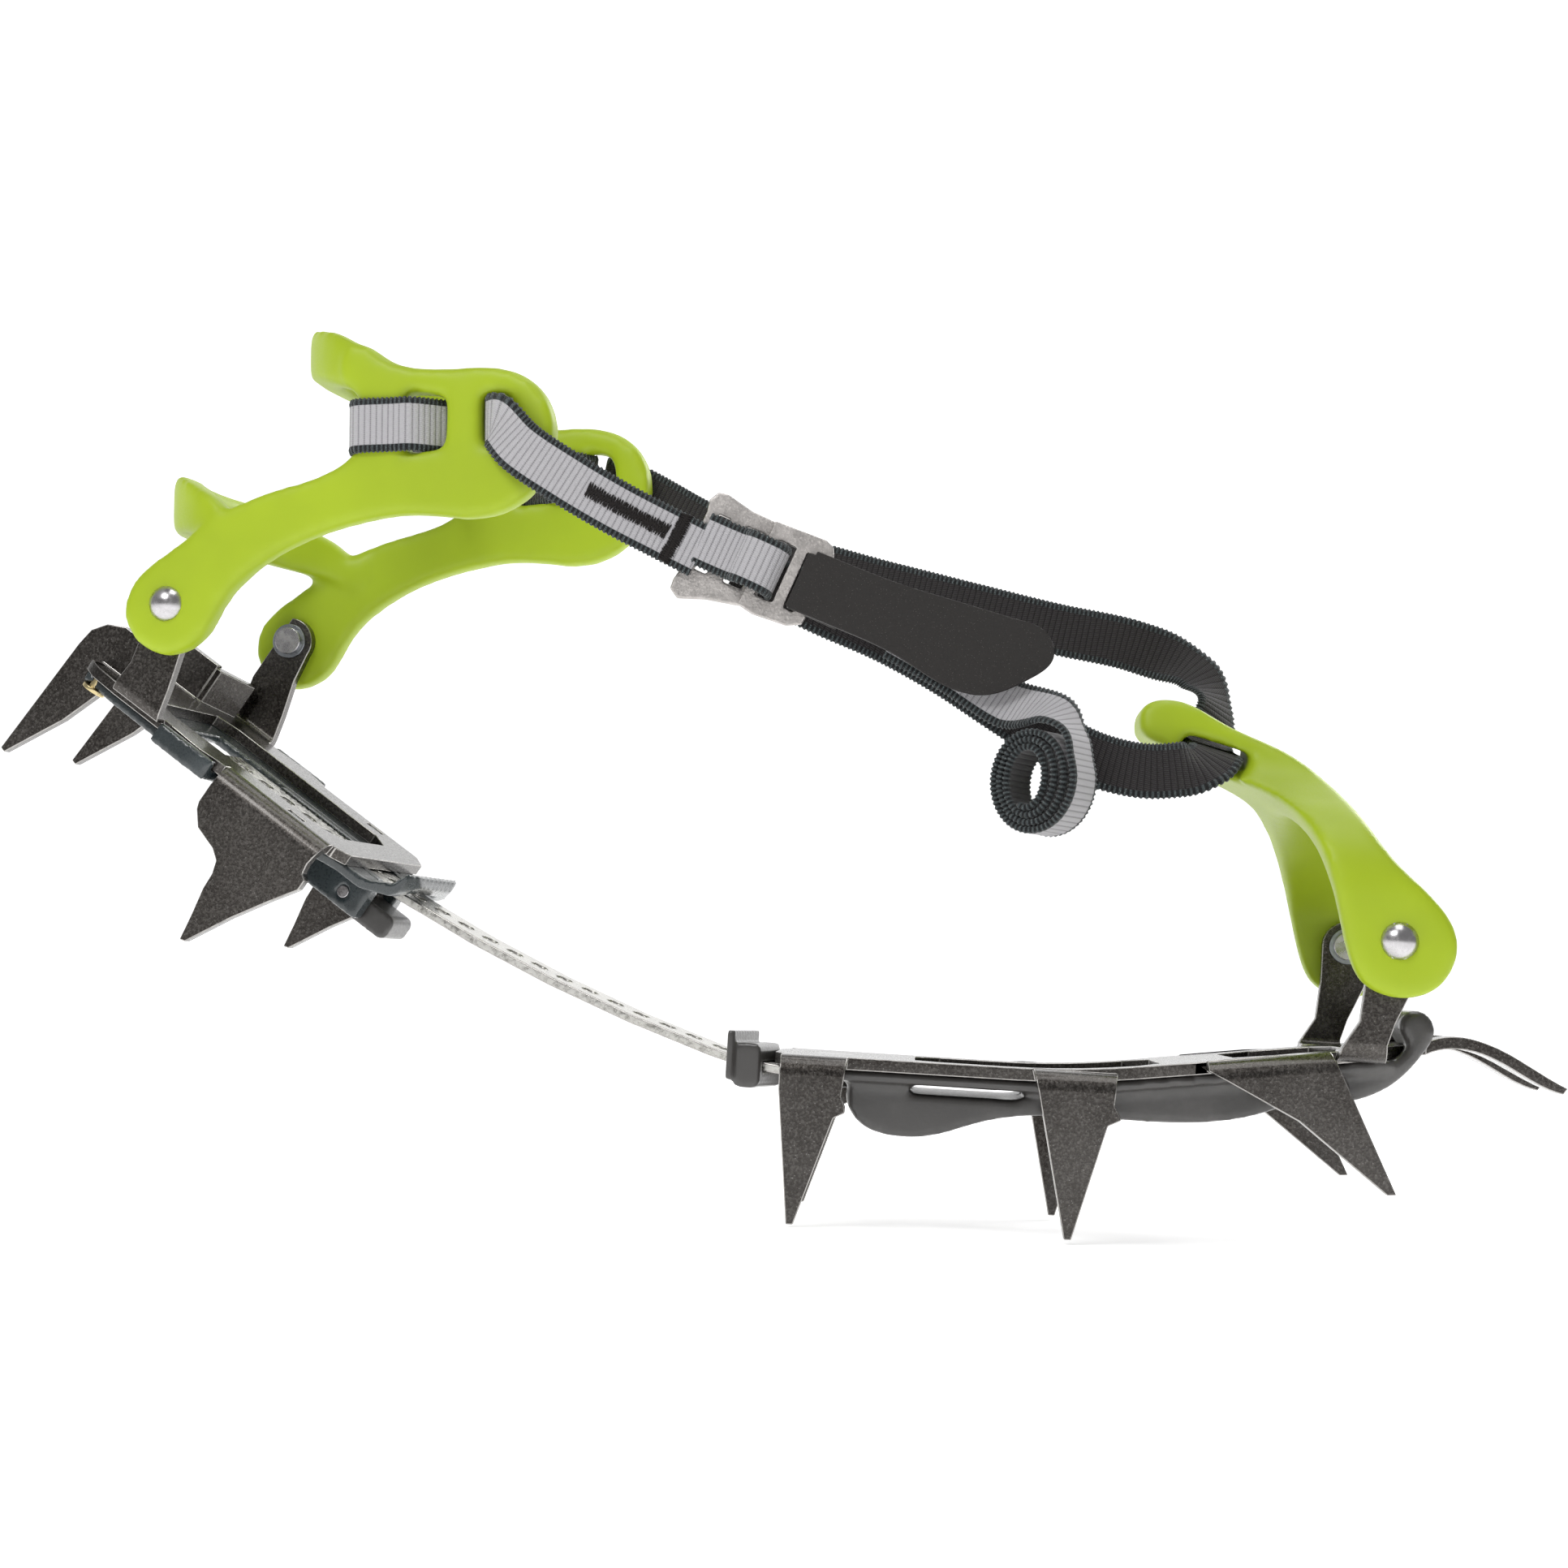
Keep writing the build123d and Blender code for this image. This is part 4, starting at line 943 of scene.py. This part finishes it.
class CRAMPON_OT_webbing(bpy.types.Operator):
    """Woven strap round the harness, through the buckle and the bail, and its rolled tail"""

    bl_idname = "crampon.webbing"
    bl_label = "Weave strap"

    def execute(self, context):
        settings = context.scene.crampon_webbing
        weave = woven(settings)
        upper = band("strap_wrap_and_sewn_end", wrap_stations() + sewn_stations(), settings, weave)
        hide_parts("strap_rear_wrap", "strap_sewn_end")
        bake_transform(upper)
        hump = band("strap_over_buckle", hump_stations(), settings, weave)
        stand_for(hump, "strap_buckle_turn")
        near = band("strap_near_strand_woven", near_stations(), settings, weave, light=-1)
        stand_for(near, "strap_near_strand", "strap_toe_loop")
        far = band("strap_far_strand_woven", far_stations(), settings, weave, light=1)
        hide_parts("strap_far_strand", "strap_far_stub")
        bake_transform(far)
        tail = band("strap_tail_woven", tail_stations(), settings, weave)
        stand_for(tail, "strap_tail", "strap_tail_roll")
        return {"FINISHED"}


class CRAMPON_OT_stitching(bpy.types.Operator):
    """Black tacks that close the sewn end"""

    bl_idname = "crampon.stitching"
    bl_label = "Sew tacks"

    def execute(self, context):
        settings = context.scene.crampon_webbing
        tree = stitch_tree(stitch_thread())
        rows = along_route(sewn_stations(), 0.2)
        lift = settings.strap_thickness / 2 + 0.00012

        def tack(name, begin, end, count, low, high, stitch, lean):
            marks = []
            for i in range(count):
                share = (i + 0.5) / count
                want = begin + (end - begin) * share
                point, width, travel, _ = min(rows, key=lambda row: abs(row[0].x / MM - want))
                out = travel.cross(width)
                across = (low + (high - low) * share) * MM
                slant = lean if i % 2 else -lean
                main = width if high == low else travel
                side = travel if high == low else width
                marks.append((point + width * across + out * lift, {
                    "thread": (main * cos(slant) + side * sin(slant)).normalized(), "facing": out}))
            piece = marked_points(name, marks)
            run_tree(piece, tree, {"Thread": settings.thread, "Stitch": stitch, "Seed": 4})
            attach(piece, "strap_body")

        tack("tack_lengthwise", -70.2, -51.6, 64, 0.4, 0.4, 0.0037, 0.16)
        tack("tack_across", -49.6, -49.4, 44, -6.0, 6.0, 0.0032, 0.18)
        return {"FINISHED"}


class CRAMPON_OT_buckle(bpy.types.Operator):
    """Tumbled alloy buckle plates and the black pull tab"""

    bl_idname = "crampon.buckle"
    bl_label = "Finish buckle"

    def execute(self, context):
        alloy = tumbled_alloy(context.scene.crampon_metal)
        moulded_copy("buckle_sewn_plate", "buckle_sewn_plate_tumbled", 0.0003, 3, alloy)
        moulded_copy("buckle_release_plate", "buckle_release_plate_tumbled", 0.0003, 3, alloy)
        broken_edges("pull_tab", "pull_tab_grained", 0.00025, [speckled_tab(context.scene.crampon_moulding)])
        return {"FINISHED"}


class CRAMPON_OT_stage(bpy.types.Operator):
    """Plain pale floor, soft lights and the camera"""

    bl_idname = "crampon.stage"
    bl_label = "Set stage"

    def execute(self, context):
        settings = context.scene.crampon_stage
        low = CAD_BOX[0][2] - 0.0006
        half, depth, rise, turns = 6.0, 1.6, 3.0, 24
        profile = [(-3.0, 0.0)] + [
            (depth + sin(pi / 2 * i / turns), 1 - cos(pi / 2 * i / turns)) for i in range(turns + 1)]
        profile.append((depth + 1, rise))
        verts = [(x, y, z + low) for y, z in profile for x in (-half, half)]
        faces = [(i, i + 1, i + 3, i + 2) for i in range(0, len(verts) - 2, 2)]
        mesh = bpy.data.meshes.new("floor")
        mesh.from_pydata(verts, [], faces)
        mesh.shade_smooth()
        floor = new_piece("floor", mesh)
        paper = Look("floor_paper", roughness=0.9, specular=0.1)
        paper.shader.inputs["Base Color"].default_value = (*settings.floor_colour, 1)
        paper.shader.inputs["Emission Color"].default_value = (1, 1, 1, 1)
        paper.shader.inputs["Emission Strength"].default_value = settings.glow
        mesh.materials.append(paper.material)

        world = bpy.data.worlds.new("room")
        context.scene.world = world
        world.use_nodes = True
        backdrop = world.node_tree.nodes["Background"]
        backdrop.inputs["Color"].default_value = (1, 1, 1, 1)
        backdrop.inputs["Strength"].default_value = settings.sky

        def soft_light(name, place, aim, size, power):
            lamp = bpy.data.lights.new(name, "AREA")
            lamp.shape = "RECTANGLE"
            lamp.size, lamp.size_y = size
            lamp.energy = power
            holder = bpy.data.objects.new(name, lamp)
            holder.location = place
            holder.rotation_euler = (Vector(aim) - Vector(place)).to_track_quat("-Z", "Y").to_euler()
            context.scene.collection.objects.link(holder)

        soft_light("key", (-0.5, -0.8, 0.9), (0, 0, 0.05), (0.5, 0.4), settings.key)
        soft_light("rim", (0.6, 0.7, 0.6), (0, 0, 0.05), (0.5, 0.3), settings.key * 0.6)
        soft_light("top", (0.1, 0.0, 1.1), (0, 0, 0), (1.0, 0.5), settings.key * 0.7)

        lens = bpy.data.cameras.new("camera")
        lens.lens = settings.lens
        lens.sensor_width = 36
        lens.clip_start, lens.clip_end = 0.01, 20
        camera = bpy.data.objects.new("camera", lens)
        context.scene.collection.objects.link(camera)
        right = Vector((0.99745, 0.03709, 0.06101))
        up = Vector((-0.05857, -0.06366, 0.99625))
        back = right.cross(up)
        turn = Matrix((right, up, back)).transposed().to_4x4()
        camera.matrix_world = Matrix.Translation(Vector((8.7, -761.8, 15.5)) * MM) @ turn
        context.scene.camera = camera
        context.scene.view_settings.view_transform = "Standard"
        return {"FINISHED"}


class CRAMPON_PT_finishes(bpy.types.Panel):
    """Lists the steps that finish the crampon"""

    bl_idname = "CRAMPON_PT_finishes"
    bl_label = "Crampon finishes"
    bl_space_type = "VIEW_3D"
    bl_region_type = "UI"
    bl_category = "Crampon"

    def draw(self, context):
        for step in STEPS:
            self.layout.operator(step.bl_idname)
        for group in GROUPS:
            settings = getattr(context.scene, GROUPS[group])
            for key in group.__annotations__:
                self.layout.prop(settings, key)


STEPS = (
    CRAMPON_OT_stage, CRAMPON_OT_steel_frames, CRAMPON_OT_plates, CRAMPON_OT_link_bar, CRAMPON_OT_rivets,
    CRAMPON_OT_mouldings, CRAMPON_OT_webbing, CRAMPON_OT_stitching, CRAMPON_OT_buckle,
)
GROUPS = {
    CramponMetal: "crampon_metal", CramponMoulding: "crampon_moulding", CramponWebbing: "crampon_webbing",
    CramponStage: "crampon_stage",
}


def register():
    for group, key in GROUPS.items():
        bpy.utils.register_class(group)
        setattr(bpy.types.Scene, key, PointerProperty(type=group))
    for step in STEPS:
        bpy.utils.register_class(step)
    bpy.utils.register_class(CRAMPON_PT_finishes)


def unregister():
    bpy.utils.unregister_class(CRAMPON_PT_finishes)
    for step in reversed(STEPS):
        bpy.utils.unregister_class(step)
    for group, key in reversed(list(GROUPS.items())):
        delattr(bpy.types.Scene, key)
        bpy.utils.unregister_class(group)


def main():
    register()
    for step in STEPS:
        area, name = step.bl_idname.split(".")
        getattr(getattr(bpy.ops, area), name)()
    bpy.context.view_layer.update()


if __name__ == "__main__":
    main()
